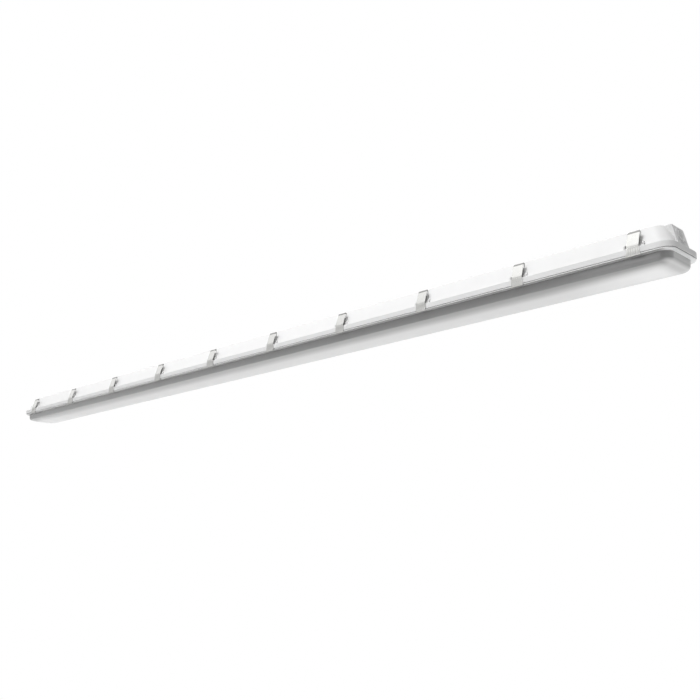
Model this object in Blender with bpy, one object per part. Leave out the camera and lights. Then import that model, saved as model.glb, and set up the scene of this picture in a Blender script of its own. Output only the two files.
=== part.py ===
"""Vapor tight light fixture, eight foot class, hung lens-down from its flat back.

The frame has X along the fixture, Y across it and +Z up.  The origin is the
centre of the housing's flat back, which lies against the ceiling, so every
other piece is below it.  All sizes are in metres.
"""
import math

import bmesh
import bpy
from mathutils import Matrix, Vector

# Rim, the outline that housing, gasket and lens all follow
RIM_LENGTH = 2.395
RIM_WIDTH = 0.121
RIM_CORNER_RADIUS = 0.024
RIM_TOP_DEPTH = 0.040
RIM_HEIGHT = 0.012
RIM_EDGE_ROUND = 0.0008
CORNER_STEPS = 6

# Housing shell above the rim
WALL_FOOT_INSET = 0.005
WALL_TOP_INSET = 0.0226
WALL_CORNER_RADIUS = 0.026
WALL_THICKNESS = 0.003
BACK_THICKNESS = 0.0028
BACK_EDGE_ROUND = 0.0045
BACK_EDGE_STEPS = 3

# Groove in the rim's underside, with its gasket
GROOVE_INSET = 0.0032
GROOVE_WIDTH = 0.0046
GROOVE_DEPTH = 0.0055
RIM_INNER_INSET = 0.011
RIM_INNER_RISE = 0.0075
SEAT_GAP = 0.0003
GASKET_THICKNESS = 0.0034

# Raised pad at each end, with its threaded entry
PAD_WIDTH = 0.0466
PAD_FOOT_INSET = 0.0033
PAD_TOP_INSET = 0.013
PAD_WALL = 0.003
PAD_EDGE_ROUND = 0.001
ENTRY_DEPTH = 0.0195
ENTRY_RADIUS = 0.0103

# Blanking plug in each entry, with its nut
PLUG_CAP_RADIUS = 0.0118
PLUG_CAP_HEIGHT = 0.0014
PLUG_CAP_ROUND = 0.0005
PLUG_STEM_RADIUS = 0.0099
PLUG_STEM_LENGTH = 0.009
PLUG_SLOT_LENGTH = 0.0052
PLUG_SLOT_WIDTH = 0.0015
PLUG_SLOT_DEPTH = 0.0009
PLUG_SIDES = 20
NUT_RADIUS = 0.0145
NUT_HEIGHT = 0.0035
NUT_SIDES = 6

# Lens: flange, tongue, side wall, edge and bowed bottom
LENS_GAP = 0.0008
FLANGE_INSET = 0.0012
FLANGE_HEIGHT = 0.0027
FLANGE_ROUND = 0.0004
TONGUE_WIDTH = 0.0022
LENS_WALL_INSET = 0.0102
LENS_END_INSET = 0.009
LENS_CORNER_RADIUS = 0.019
LENS_WALL_HEIGHT = 0.0165
LENS_WALL_DRAFT = 0.0011
LENS_THICKNESS = 0.002
LENS_SIDE_ROUND = 0.0018
LENS_END_ROUND = 0.0070
LENS_ROUND_STEPS = 3
LENS_BOW_DEPTH = 0.0062
LENS_BOW_REACH = 0.036
LENS_BOW_STEPS = 4
LENS_BOW_CORNER_RADIUS = 0.008
LENS_EDGE_ANGLE = math.radians(20)

# Latches along each long side
LATCH_COUNT = 10
LATCH_END_DISTANCE = 0.0725
WIRE_RADIUS = 0.0008
WIRE_RESOLUTION = 1
WIRE_GAP = 0.0003
BAIL_WIDTH = 0.028
BAIL_PIVOT_INSET = 0.006
BAIL_PIVOT_RISE = 0.0064
BAIL_TOP_INSET = 0.010
BAIL_HEIGHT = 0.0249
BAIL_BEND_RADIUS = 0.0018
BAIL_BEND_STEPS = 2
BAIL_FOOT_STEPS = 1
BAIL_JOG_SHARE = 0.26
BAIL_FOOT_SPREAD = 0.0026

# Ears moulded on the housing that carry the bails
EAR_CLEARANCE = 0.0004
EAR_THICKNESS = 0.0034
EAR_NOSE_RADIUS = 0.0025
EAR_NOSE_STEPS = 2
EAR_ROOT_DEPTH = 0.002
EAR_FLOOR = 0.0014
PIN_SIDES = 6

# Sheet clip that hangs on each bail and hooks under the lens
CLIP_THICKNESS = 0.0008
CLIP_TOP_WIDTH = 0.0242
CLIP_CURL_WIDTH = 0.0218
CLIP_FOOT_WIDTH = 0.028
CLIP_CURL_ANGLE = math.radians(250)
CLIP_CURL_STEPS = 5
CLIP_FACE_GAP = 0.0006
CLIP_KNEE_RISE = 0.0018
CLIP_KNEE_ROUND = 0.0016
CLIP_LIP_GAP = 0.0004
CLIP_LIP_REACH = 0.0034
CLIP_LIP_ROUND = 0.0011
RIB_COUNT = 5
RIB_SHARE = 0.52
RIB_HEIGHT = 0.0007
RIB_TOP_SHARE = 0.55
RIB_MARGIN = 0.0012

# Pillars under the back, and the gear tray that they carry
PILLAR_RADIUS = 0.0065
PILLAR_SIDES = 12
PILLAR_COUNT = 5
PILLAR_END_DISTANCE = 0.0775
TRAY_RISE = 0.004
TRAY_THICKNESS = 0.001
TRAY_END_DISTANCE = 0.0525
TRAY_SIDE_GAP = 0.002
TRAY_LIP_HEIGHT = 0.006
TRAY_LIP_SPREAD = 0.0015

# Quarter-turn buttons that lock the tray to the pillars
BUTTON_STEM_RADIUS = 0.003
BUTTON_STEM_REACH = 0.012
BUTTON_BAR_LENGTH = 0.022
BUTTON_BAR_WIDTH = 0.008
BUTTON_BAR_HEIGHT = 0.003
BUTTON_GRIP_WIDTH = 0.0024
BUTTON_GRIP_HEIGHT = 0.004
BUTTON_SLOT_GAP = 0.0006

# Light boards under the tray, one in each bay between two buttons
BOARD_END_GAP = 0.015
BOARD_WIDTH = 0.028
BOARD_THICKNESS = 0.0016
EMITTER_COUNT = 10
EMITTER_SIZE = 0.005
EMITTER_HEIGHT = 0.0012

# Driver on top of the tray in the middle of a bay, and terminal block
DRIVER_LENGTH = 0.300
DRIVER_WIDTH = 0.042
DRIVER_HEIGHT = 0.024
DRIVER_FOOT_LENGTH = 0.016
DRIVER_FOOT_HEIGHT = 0.0015
DRIVER_EDGE_ROUND = 0.002
TERMINAL_LENGTH = 0.034
TERMINAL_WIDTH = 0.020
TERMINAL_HEIGHT = 0.017
TERMINAL_PLACE = -0.160
TERMINAL_POLES = 3
TERMINAL_PORT_SHARE = 0.6
TERMINAL_PORT_DEPTH = 0.006

# One overrun serves every cut and every root that sinks into a wall
OVERRUN = 0.004
SMOOTH_ANGLE = math.radians(35)

HALF_LENGTH = RIM_LENGTH / 2
HALF_WIDTH = RIM_WIDTH / 2
BAIL_PIVOT_DEPTH = RIM_TOP_DEPTH - BAIL_PIVOT_RISE
BAIL_TOP_DEPTH = BAIL_PIVOT_DEPTH - BAIL_HEIGHT
LATCH_PITCH = (RIM_LENGTH - 2 * LATCH_END_DISTANCE) / (LATCH_COUNT - 1)
PILLAR_PITCH = (RIM_LENGTH - 2 * PILLAR_END_DISTANCE) / (PILLAR_COUNT - 1)
TRAY_DEPTH = RIM_TOP_DEPTH - TRAY_RISE
DRIVER_PLACE = PILLAR_PITCH / 2
RIM_BOTTOM_DEPTH = RIM_TOP_DEPTH + RIM_HEIGHT
FLANGE_TOP_DEPTH = RIM_BOTTOM_DEPTH + LENS_GAP
FLANGE_BOTTOM_DEPTH = FLANGE_TOP_DEPTH + FLANGE_HEIGHT
WALL_LEAN = (WALL_TOP_INSET - WALL_FOOT_INSET) / RIM_TOP_DEPTH
PAD_LEAN = (PAD_TOP_INSET - PAD_FOOT_INSET) / RIM_TOP_DEPTH
PAD_TILT = math.atan(PAD_LEAN)

FINISHES = {
    "housing_grey": ((0.83, 0.84, 0.84), 0.45, 0.0),
    "gasket_foam": ((0.20, 0.20, 0.21), 0.85, 0.0),
    "frosted_lens": ((0.90, 0.91, 0.92), 0.35, 0.0),
    "stainless_sheet": ((0.72, 0.72, 0.70), 0.28, 1.0),
    "stainless_wire": ((0.62, 0.62, 0.60), 0.25, 1.0),
    "plug_plastic": ((0.70, 0.71, 0.71), 0.5, 0.0),
    "tray_white": ((0.88, 0.88, 0.87), 0.4, 0.0),
    "board_white": ((0.86, 0.87, 0.85), 0.5, 0.0),
    "driver_case": ((0.75, 0.76, 0.77), 0.35, 0.6),
    "terminal_plastic": ((0.80, 0.80, 0.78), 0.5, 0.0),
    "button_nylon": ((0.85, 0.85, 0.82), 0.5, 0.0),
}


def clear_scene():
    """Remove what the file opened with."""
    for thing in list(bpy.data.objects):
        bpy.data.objects.remove(thing, do_unlink=True)


def finish(name):
    """Return the named finish, made the first time it is asked for."""
    material = bpy.data.materials.get(name)
    if material is None:
        colour, roughness, metallic = FINISHES[name]
        material = bpy.data.materials.new(name)
        material.use_nodes = True
        shader = material.node_tree.nodes["Principled BSDF"]
        shader.inputs["Base Color"].default_value = (*colour, 1.0)
        shader.inputs["Roughness"].default_value = roughness
        shader.inputs["Metallic"].default_value = metallic
        material.diffuse_color = (*colour, 1.0)
    return material


def mesh_from(bm, name):
    """Close a bmesh into a mesh with its faces pointing out and round faces smooth."""
    bmesh.ops.recalc_face_normals(bm, faces=bm.faces)
    mesh = bpy.data.meshes.new(name)
    bm.to_mesh(mesh)
    bm.free()
    mesh.shade_smooth()
    mesh.set_sharp_from_angle(angle=SMOOTH_ANGLE)
    return mesh


def place(name, mesh, finish_name, location=(0, 0, 0), turn=0, parent=None):
    """Link one object and give it a finish of its own."""
    thing = bpy.data.objects.new(name, mesh)
    bpy.context.scene.collection.objects.link(thing)
    if not mesh.materials:
        mesh.materials.append(finish(finish_name))
    thing.location = location
    thing.rotation_euler = (0, 0, turn)
    thing.parent = parent
    return thing


def guide(name, mesh):
    """Link a cutter or an added form, which a Boolean reads and no one sees."""
    thing = bpy.data.objects.new(name, mesh)
    bpy.context.scene.collection.objects.link(thing)
    thing.hide_render = True
    thing.display_type = "WIRE"
    return thing


def boolean(target, operation, other):
    """Add a live Boolean to an object."""
    modifier = target.modifiers.new(other.name, "BOOLEAN")
    modifier.operation = operation
    modifier.object = other
    return modifier


def box_into(bm, low, high):
    """Add a closed box between two corners."""
    size = Vector(high) - Vector(low)
    middle = (Vector(high) + Vector(low)) / 2
    matrix = Matrix.Translation(middle) @ Matrix.Diagonal((*size, 1))
    return bmesh.ops.create_cube(bm, size=1, matrix=matrix)["verts"]


def rod_into(bm, radius, start, end, sides, radius_end=None):
    """Add a closed round rod between two points."""
    start, end = Vector(start), Vector(end)
    turn = (end - start).to_track_quat("Z", "X").to_matrix().to_4x4()
    matrix = Matrix.Translation((start + end) / 2) @ turn
    bmesh.ops.create_cone(
        bm, cap_ends=True, segments=sides, radius1=radius,
        radius2=radius if radius_end is None else radius_end,
        depth=(end - start).length, matrix=matrix)


def prism_into(bm, outline, low, high):
    """Extrude a closed outline of (y, z) points from x = low to x = high."""
    face = bm.faces.new([bm.verts.new((low, y, z)) for y, z in outline])
    swept = bmesh.ops.extrude_face_region(bm, geom=[face])["geom"]
    moved = [item for item in swept if isinstance(item, bmesh.types.BMVert)]
    bmesh.ops.translate(bm, vec=(high - low, 0, 0), verts=moved)


def plan_ring(inset, depth, radius, end_inset=None):
    """Points of a rounded rectangle, inset from the rim's outline, at one depth."""
    reach = HALF_LENGTH - (inset if end_inset is None else end_inset)
    half = HALF_WIDTH - inset
    points = []
    for corner, (side_x, side_y) in enumerate(((1, 1), (-1, 1), (-1, -1), (1, -1))):
        for step in range(CORNER_STEPS + 1):
            angle = math.pi / 2 * (corner + step / CORNER_STEPS)
            points.append((side_x * (reach - radius) + radius * math.cos(angle),
                           side_y * (half - radius) + radius * math.sin(angle), -depth))
    return points


def ring_stack(rings, closed):
    """Skin a run of plan rings; a closed run joins its last ring to its first."""
    bm = bmesh.new()
    loops = [[bm.verts.new(point) for point in ring] for ring in rings]
    pairs = list(zip(loops, loops[1:]))
    if closed:
        pairs.append((loops[-1], loops[0]))
    else:
        bm.faces.new(loops[0])
        bm.faces.new(loops[-1])
    for upper, lower in pairs:
        for index in range(len(upper)):
            after = (index + 1) % len(upper)
            bm.faces.new((upper[index], upper[after], lower[after], lower[index]))
    return bm


def wall_inset(depth):
    """Inset of the housing's outer wall at a depth below the back."""
    return WALL_TOP_INSET - WALL_LEAN * depth


def inner_inset(depth):
    """Inset of the housing's inner wall at a depth below the back."""
    return wall_inset(depth) + WALL_THICKNESS


def back_edge_rings():
    """Rings of the rounded edge between the back and the wall."""
    lean = math.atan(WALL_LEAN)
    sweep = math.pi / 2 - lean
    set_back = BACK_EDGE_ROUND * math.tan(sweep / 2)
    rings = []
    for step in range(BACK_EDGE_STEPS + 1):
        angle = sweep * step / BACK_EDGE_STEPS
        inset = WALL_TOP_INSET + set_back - BACK_EDGE_ROUND * math.sin(angle)
        depth = BACK_EDGE_ROUND * (1 - math.cos(angle))
        rings.append(plan_ring(inset, depth, WALL_CORNER_RADIUS))
    return rings


def housing_rings():
    """Rings of the housing from its back, down outside and up inside."""
    groove_top = RIM_BOTTOM_DEPTH - GROOVE_DEPTH
    groove_far = GROOVE_INSET + GROOVE_WIDTH
    inner_radius = RIM_CORNER_RADIUS - GROOVE_INSET
    ledge = RIM_BOTTOM_DEPTH - RIM_INNER_RISE
    rings = back_edge_rings()
    rings.append(plan_ring(WALL_FOOT_INSET, RIM_TOP_DEPTH, WALL_CORNER_RADIUS))
    rings.append(plan_ring(RIM_EDGE_ROUND, RIM_TOP_DEPTH, RIM_CORNER_RADIUS))
    rings.append(plan_ring(0, RIM_TOP_DEPTH + RIM_EDGE_ROUND, RIM_CORNER_RADIUS))
    rings.append(plan_ring(0, RIM_BOTTOM_DEPTH, RIM_CORNER_RADIUS))
    rings.append(plan_ring(GROOVE_INSET, RIM_BOTTOM_DEPTH, inner_radius))
    rings.append(plan_ring(GROOVE_INSET, groove_top, inner_radius))
    rings.append(plan_ring(groove_far, groove_top, inner_radius))
    rings.append(plan_ring(groove_far, RIM_BOTTOM_DEPTH, inner_radius))
    rings.append(plan_ring(RIM_INNER_INSET, RIM_BOTTOM_DEPTH, inner_radius))
    rings.append(plan_ring(RIM_INNER_INSET, ledge, inner_radius))
    rings.append(plan_ring(inner_inset(RIM_TOP_DEPTH), RIM_TOP_DEPTH, inner_radius))
    rings.append(plan_ring(inner_inset(BACK_THICKNESS), BACK_THICKNESS, inner_radius))
    return rings


def pad_outline(foot_inset, top_inset, top_depth, root):
    """Corners of an end pad's wedge in (x, z): foot, top and their roots."""
    foot = HALF_LENGTH - foot_inset
    top = HALF_LENGTH - top_inset + PAD_LEAN * top_depth
    inner = HALF_LENGTH - WALL_TOP_INSET - root
    return ((foot, -RIM_TOP_DEPTH), (top, -top_depth), (inner, -top_depth),
            (inner, -RIM_TOP_DEPTH))


def wedge_into(bm, outline, width, side):
    """Add a pad wedge from its (x, z) outline, at the end that side names."""
    rows = [[bm.verts.new((side * x, y, z)) for x, z in outline]
            for y in (-width / 2, width / 2)]
    bm.faces.new(rows[0])
    bm.faces.new(rows[1])
    for index in range(len(outline)):
        after = (index + 1) % len(outline)
        bm.faces.new((rows[0][index], rows[0][after], rows[1][after], rows[1][index]))


def end_pads():
    """Both flat pads, rooted in the end walls, with their vertical edges eased."""
    bm = bmesh.new()
    outline = pad_outline(PAD_FOOT_INSET, PAD_TOP_INSET, 0, 0)
    for side in (-1, 1):
        wedge_into(bm, outline, PAD_WIDTH, side)
    reach = HALF_LENGTH - WALL_TOP_INSET
    edges = [edge for edge in bm.edges
             if all(abs(vert.co.x) > reach + PAD_EDGE_ROUND for vert in edge.verts)
             and abs(edge.verts[0].co.y - edge.verts[1].co.y) < PAD_EDGE_ROUND]
    bmesh.ops.bevel(bm, geom=edges, offset=PAD_EDGE_ROUND, segments=1, affect="EDGES")
    return mesh_from(bm, "end_pads")


def pad_pockets():
    """The hollows behind both pads, which keep the moulded wall even."""
    bm = bmesh.new()
    slant = PAD_WALL / math.cos(PAD_TILT)
    outline = pad_outline(PAD_FOOT_INSET + slant, PAD_TOP_INSET + slant,
                          BACK_THICKNESS, WALL_THICKNESS + OVERRUN)
    for side in (-1, 1):
        wedge_into(bm, outline, PAD_WIDTH - 2 * PAD_WALL, side)
    return mesh_from(bm, "pad_pockets")


def entry_axis(side):
    """Centre of an entry on its pad's face, and the way out of it."""
    inset = PAD_TOP_INSET - PAD_LEAN * ENTRY_DEPTH
    centre = Vector((side * (HALF_LENGTH - inset), 0, -ENTRY_DEPTH))
    outward = Vector((side * math.cos(PAD_TILT), 0, math.sin(PAD_TILT)))
    return centre, outward


def entry_holes():
    """Round holes square through both pads."""
    bm = bmesh.new()
    for side in (-1, 1):
        centre, outward = entry_axis(side)
        reach = PAD_WALL + OVERRUN
        rod_into(bm, ENTRY_RADIUS, centre - outward * reach, centre + outward * OVERRUN,
                 PLUG_SIDES)
    return mesh_from(bm, "entry_holes")


def latch_places():
    """Every latch: its number, its x, and which long side it is on."""
    places = []
    for side in (-1, 1):
        for index in range(LATCH_COUNT):
            x = LATCH_PITCH * (index - (LATCH_COUNT - 1) / 2)
            places.append((len(places) + 1, x, side))
    return places


def pin_reach():
    """Half the distance between the two pins' ends of one bail."""
    return ear_inner() + EAR_THICKNESS - EAR_FLOOR - WIRE_GAP


def ear_inner():
    """Distance from a latch's middle to the near face of its ears."""
    return BAIL_WIDTH / 2 + BAIL_FOOT_SPREAD + EAR_CLEARANCE


def ear_outline():
    """Outline of an ear in (y, z) on the +Y side, from the wall round its nose."""
    pivot_y = HALF_WIDTH - BAIL_PIVOT_INSET
    pivot_z = -BAIL_PIVOT_DEPTH
    top = pivot_z + EAR_NOSE_RADIUS
    foot = -RIM_TOP_DEPTH - EAR_ROOT_DEPTH / 2
    points = [(HALF_WIDTH - wall_inset(-top) - EAR_ROOT_DEPTH, top)]
    for step in range(EAR_NOSE_STEPS + 1):
        angle = math.pi / 2 * (1 - step / EAR_NOSE_STEPS)
        points.append((pivot_y + EAR_NOSE_RADIUS * math.cos(angle),
                       pivot_z + EAR_NOSE_RADIUS * math.sin(angle)))
    points.append((pivot_y + EAR_NOSE_RADIUS, foot))
    points.append((HALF_WIDTH - WALL_FOOT_INSET - EAR_ROOT_DEPTH, foot))
    return points


def ears():
    """All the ears, two for each latch, rooted in the wall and the rim."""
    bm = bmesh.new()
    outline = ear_outline()
    for _, x, side in latch_places():
        turned = [(side * y, z) for y, z in outline]
        for hand in (-1, 1):
            near = x + hand * ear_inner()
            far = near + hand * EAR_THICKNESS
            prism_into(bm, turned, min(near, far), max(near, far))
    return mesh_from(bm, "ears")


def pin_holes():
    """One blind bore through each pair of ears."""
    bm = bmesh.new()
    reach = pin_reach() + WIRE_GAP
    radius = WIRE_RADIUS + WIRE_GAP
    for _, x, side in latch_places():
        y = side * (HALF_WIDTH - BAIL_PIVOT_INSET)
        start = (x - reach, y, -BAIL_PIVOT_DEPTH)
        end = (x + reach, y, -BAIL_PIVOT_DEPTH)
        rod_into(bm, radius, start, end, PIN_SIDES)
    return mesh_from(bm, "pin_holes")


def pillar_places():
    """Middle of each pillar along the fixture."""
    return [PILLAR_PITCH * (index - (PILLAR_COUNT - 1) / 2) for index in range(PILLAR_COUNT)]


def pillars():
    """Posts from the back down to the tray."""
    bm = bmesh.new()
    for x in pillar_places():
        rod_into(bm, PILLAR_RADIUS, (x, 0, -BACK_THICKNESS / 2),
                 (x, 0, SEAT_GAP - TRAY_DEPTH), PILLAR_SIDES)
    return mesh_from(bm, "pillars")


def pillar_bores():
    """Blind bores for the buttons' stems, up the pillars from below."""
    bm = bmesh.new()
    for x in pillar_places():
        rod_into(bm, BUTTON_STEM_RADIUS + SEAT_GAP,
                 (x, 0, -TRAY_DEPTH - OVERRUN),
                 (x, 0, BUTTON_STEM_REACH + SEAT_GAP - TRAY_DEPTH), PILLAR_SIDES)
    return mesh_from(bm, "pillar_bores")


def add_housing(parent):
    """The moulded trough with its rim, pads, ears, pillars and holes."""
    shell = mesh_from(ring_stack(housing_rings(), closed=False), "housing")
    housing = place("housing", shell, "housing_grey", parent=parent)
    boolean(housing, "UNION", guide("end_pad_forms", end_pads()))
    boolean(housing, "DIFFERENCE", guide("pad_pocket_cutter", pad_pockets()))
    boolean(housing, "UNION", guide("ear_forms", ears()))
    boolean(housing, "UNION", guide("pillar_forms", pillars()))
    boolean(housing, "DIFFERENCE", guide("pillar_bore_cutter", pillar_bores()))
    boolean(housing, "DIFFERENCE", guide("entry_cutter", entry_holes()))
    boolean(housing, "DIFFERENCE", guide("pin_hole_cutter", pin_holes()))


def add_gasket(parent):
    """The foamed ring in the rim's groove."""
    near = GROOVE_INSET + SEAT_GAP
    far = GROOVE_INSET + GROOVE_WIDTH - SEAT_GAP
    top = RIM_BOTTOM_DEPTH - GROOVE_DEPTH + SEAT_GAP
    radius = RIM_CORNER_RADIUS - GROOVE_INSET
    corners = ((near, top), (near, top + GASKET_THICKNESS),
               (far, top + GASKET_THICKNESS), (far, top))
    rings = [plan_ring(inset, depth, radius) for inset, depth in corners]
    place("gasket", mesh_from(ring_stack(rings, closed=True), "gasket"), "gasket_foam",
          parent=parent)


def lens_edge_rings(offset):
    """Rings of the lens below its wall: rounded edge, then the bowed bottom.

    The offset is zero outside and the lens's thickness inside.  The edge turns
    from the wall to the slope where the bow starts, and the bow is a parabola
    that flattens out at its reach.
    """
    side_round = LENS_SIDE_ROUND - offset / 2
    end_round = LENS_END_ROUND - offset
    wall_foot = FLANGE_BOTTOM_DEPTH + LENS_WALL_HEIGHT
    inset = LENS_WALL_INSET + LENS_WALL_DRAFT + offset
    end_inset = LENS_END_INSET + LENS_WALL_DRAFT + offset
    rings = []
    sweep = math.pi / 2 - LENS_EDGE_ANGLE
    for step in range(LENS_ROUND_STEPS + 1):
        angle = sweep * step / LENS_ROUND_STEPS
        move = 1 - math.cos(angle)
        drop = side_round * math.sin(angle) - offset * step / LENS_ROUND_STEPS
        rings.append(plan_ring(inset + side_round * move, wall_foot + drop,
                               LENS_CORNER_RADIUS - offset, end_inset + end_round * move))
    start = wall_foot + side_round * math.sin(sweep) - offset
    side_start = inset + side_round * (1 - math.cos(sweep))
    end_start = end_inset + end_round * (1 - math.cos(sweep))
    for step in range(1, LENS_BOW_STEPS + 1):
        share = step / LENS_BOW_STEPS
        drop = LENS_BOW_DEPTH * (1 - (1 - share) ** 2)
        run = LENS_BOW_REACH * share
        radius = LENS_BOW_CORNER_RADIUS * share + (LENS_CORNER_RADIUS - offset) * (1 - share)
        rings.append(plan_ring(side_start + run, start + drop, radius, end_start + run))
    return rings


def add_lens(parent):
    """The one-piece frosted lens: flange, tongue, wall and bowed bottom."""
    inner_radius = LENS_CORNER_RADIUS - LENS_THICKNESS
    flange_radius = RIM_CORNER_RADIUS - FLANGE_INSET
    groove_middle = GROOVE_INSET + GROOVE_WIDTH / 2
    tongue_near = groove_middle - TONGUE_WIDTH / 2
    tongue_far = groove_middle + TONGUE_WIDTH / 2
    groove_roof = RIM_BOTTOM_DEPTH - GROOVE_DEPTH
    tongue_top = groove_roof + GASKET_THICKNESS + 2 * SEAT_GAP
    tongue_radius = RIM_CORNER_RADIUS - GROOVE_INSET
    inner_side = LENS_WALL_INSET + LENS_THICKNESS
    inner_end = LENS_END_INSET + LENS_THICKNESS
    rings = list(reversed(lens_edge_rings(0)))
    rings.append(plan_ring(LENS_WALL_INSET, FLANGE_BOTTOM_DEPTH, LENS_CORNER_RADIUS,
                           LENS_END_INSET))
    rings.append(plan_ring(FLANGE_INSET + FLANGE_ROUND, FLANGE_BOTTOM_DEPTH, flange_radius))
    rings.append(plan_ring(FLANGE_INSET, FLANGE_BOTTOM_DEPTH - FLANGE_ROUND, flange_radius))
    rings.append(plan_ring(FLANGE_INSET, FLANGE_TOP_DEPTH, flange_radius))
    rings.append(plan_ring(tongue_near, FLANGE_TOP_DEPTH, tongue_radius))
    rings.append(plan_ring(tongue_near, tongue_top, tongue_radius))
    rings.append(plan_ring(tongue_far, tongue_top, tongue_radius))
    rings.append(plan_ring(tongue_far, FLANGE_TOP_DEPTH, tongue_radius))
    rings.append(plan_ring(inner_side, FLANGE_TOP_DEPTH, inner_radius, inner_end))
    rings.extend(lens_edge_rings(LENS_THICKNESS))
    place("lens", mesh_from(ring_stack(rings, closed=False), "lens"), "frosted_lens",
          parent=parent)


def rounded_path(corners, radius, bend_steps):
    """Run through corner points with an arc of the given radius at each inner one."""
    path = [corners[0]]
    for before, corner, after, steps in zip(corners, corners[1:], corners[2:], bend_steps):
        back = (before - corner).normalized()
        ahead = (after - corner).normalized()
        half = back.angle(ahead) / 2
        centre = corner + (back + ahead).normalized() * radius / math.sin(half)
        start = corner + back * radius / math.tan(half) - centre
        axis = start.cross(corner + ahead * radius / math.tan(half) - centre)
        for step in range(steps + 1):
            turn = Matrix.Rotation((math.pi - 2 * half) * step / steps, 3, axis)
            path.append(centre + turn @ start)
    path.append(corners[-1])
    return path


def bail_corners():
    """Corners of the bail about its pivot, from one pin to the other."""
    out = BAIL_PIVOT_INSET - BAIL_TOP_INSET
    leg = BAIL_WIDTH / 2 - WIRE_RADIUS
    foot = leg + BAIL_FOOT_SPREAD
    half = [(pin_reach(), 0, 0), (foot, 0, 0),
            (leg, BAIL_JOG_SHARE * out, BAIL_JOG_SHARE * BAIL_HEIGHT), (leg, out, BAIL_HEIGHT)]
    other = [(-x, y, z) for x, y, z in reversed(half)]
    return [Vector((x, -y, z)) for x, y, z in half + other]


def bail_mesh():
    """The bent wire, as a curve with a round section and filled ends."""
    curve = bpy.data.curves.new("bail_wire", "CURVE")
    curve.dimensions = "3D"
    curve.bevel_depth = WIRE_RADIUS
    curve.bevel_resolution = WIRE_RESOLUTION
    curve.use_fill_caps = True
    feet = [BAIL_FOOT_STEPS, BAIL_FOOT_STEPS]
    bends = feet + [BAIL_BEND_STEPS, BAIL_BEND_STEPS] + feet
    points = rounded_path(bail_corners(), BAIL_BEND_RADIUS, bends)
    spline = curve.splines.new("POLY")
    spline.points.add(len(points) - 1)
    for target, point in zip(spline.points, points):
        target.co = (*point, 1)
    wire = bpy.data.objects.new("bail_wire", curve)
    bpy.context.scene.collection.objects.link(wire)
    bpy.context.view_layer.update()
    tube = bpy.data.meshes.new_from_object(wire.evaluated_get(bpy.context.evaluated_depsgraph_get()))
    bpy.data.objects.remove(wire, do_unlink=True)
    bm = bmesh.new()
    bm.from_mesh(tube)
    bmesh.ops.remove_doubles(bm, verts=bm.verts, dist=WIRE_RADIUS / 100)
    return mesh_from(bm, "bail")


def clip_stations():
    """Middle line of the clip's sheet about its curl, as (out, up, width).

    It runs from the curl's tail over the crossbar, down the leaning plate, round
    the knee, down the ribbed grip and under the lens flange to the lip's edge.
    """
    curl = WIRE_RADIUS + WIRE_GAP + CLIP_THICKNESS / 2
    grip_out = BAIL_TOP_INSET + CLIP_FACE_GAP + CLIP_THICKNESS / 2
    knee_up = BAIL_TOP_DEPTH - RIM_TOP_DEPTH + CLIP_KNEE_RISE
    lip_up = BAIL_TOP_DEPTH - FLANGE_BOTTOM_DEPTH - CLIP_LIP_GAP - CLIP_THICKNESS / 2
    lip_end = BAIL_TOP_INSET - FLANGE_INSET - CLIP_LIP_REACH
    reach = math.hypot(grip_out, knee_up)
    tangent = math.atan2(knee_up, grip_out) + math.acos(curl / reach)
    stations = []
    for step in range(CLIP_CURL_STEPS + 1):
        angle = tangent + CLIP_CURL_ANGLE * (1 - step / CLIP_CURL_STEPS)
        stations.append((curl * math.cos(angle), curl * math.sin(angle), CLIP_CURL_WIDTH))
    lean = Vector((grip_out - stations[-1][0], knee_up - stations[-1][1])).normalized()
    shoulder = lean * CLIP_KNEE_ROUND
    stations.append((stations[-1][0] + shoulder.x, stations[-1][1] + shoulder.y, CLIP_TOP_WIDTH))
    stations.append((grip_out - shoulder.x, knee_up - shoulder.y, CLIP_TOP_WIDTH))
    stations.append((grip_out, knee_up - CLIP_KNEE_ROUND, CLIP_TOP_WIDTH))
    stations.append((grip_out, lip_up + CLIP_LIP_ROUND, CLIP_FOOT_WIDTH))
    slant = CLIP_LIP_ROUND * (1 - math.cos(math.pi / 4))
    stations.append((grip_out - slant, lip_up + slant, CLIP_FOOT_WIDTH))
    stations.append((grip_out - CLIP_LIP_ROUND, lip_up, CLIP_FOOT_WIDTH))
    stations.append((lip_end, lip_up, CLIP_TOP_WIDTH))
    return stations


def rib_shares():
    """Places of the ribs' edges across the grip, in shares of its width."""
    pitch = 1 / (RIB_COUNT + RIB_SHARE)
    shares = []
    for index in range(RIB_COUNT):
        middle = 1 / 2 + pitch * (index - (RIB_COUNT - 1) / 2)
        shares.extend((middle - pitch * RIB_SHARE / 2, middle + pitch * RIB_SHARE / 2))
    return shares


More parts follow.
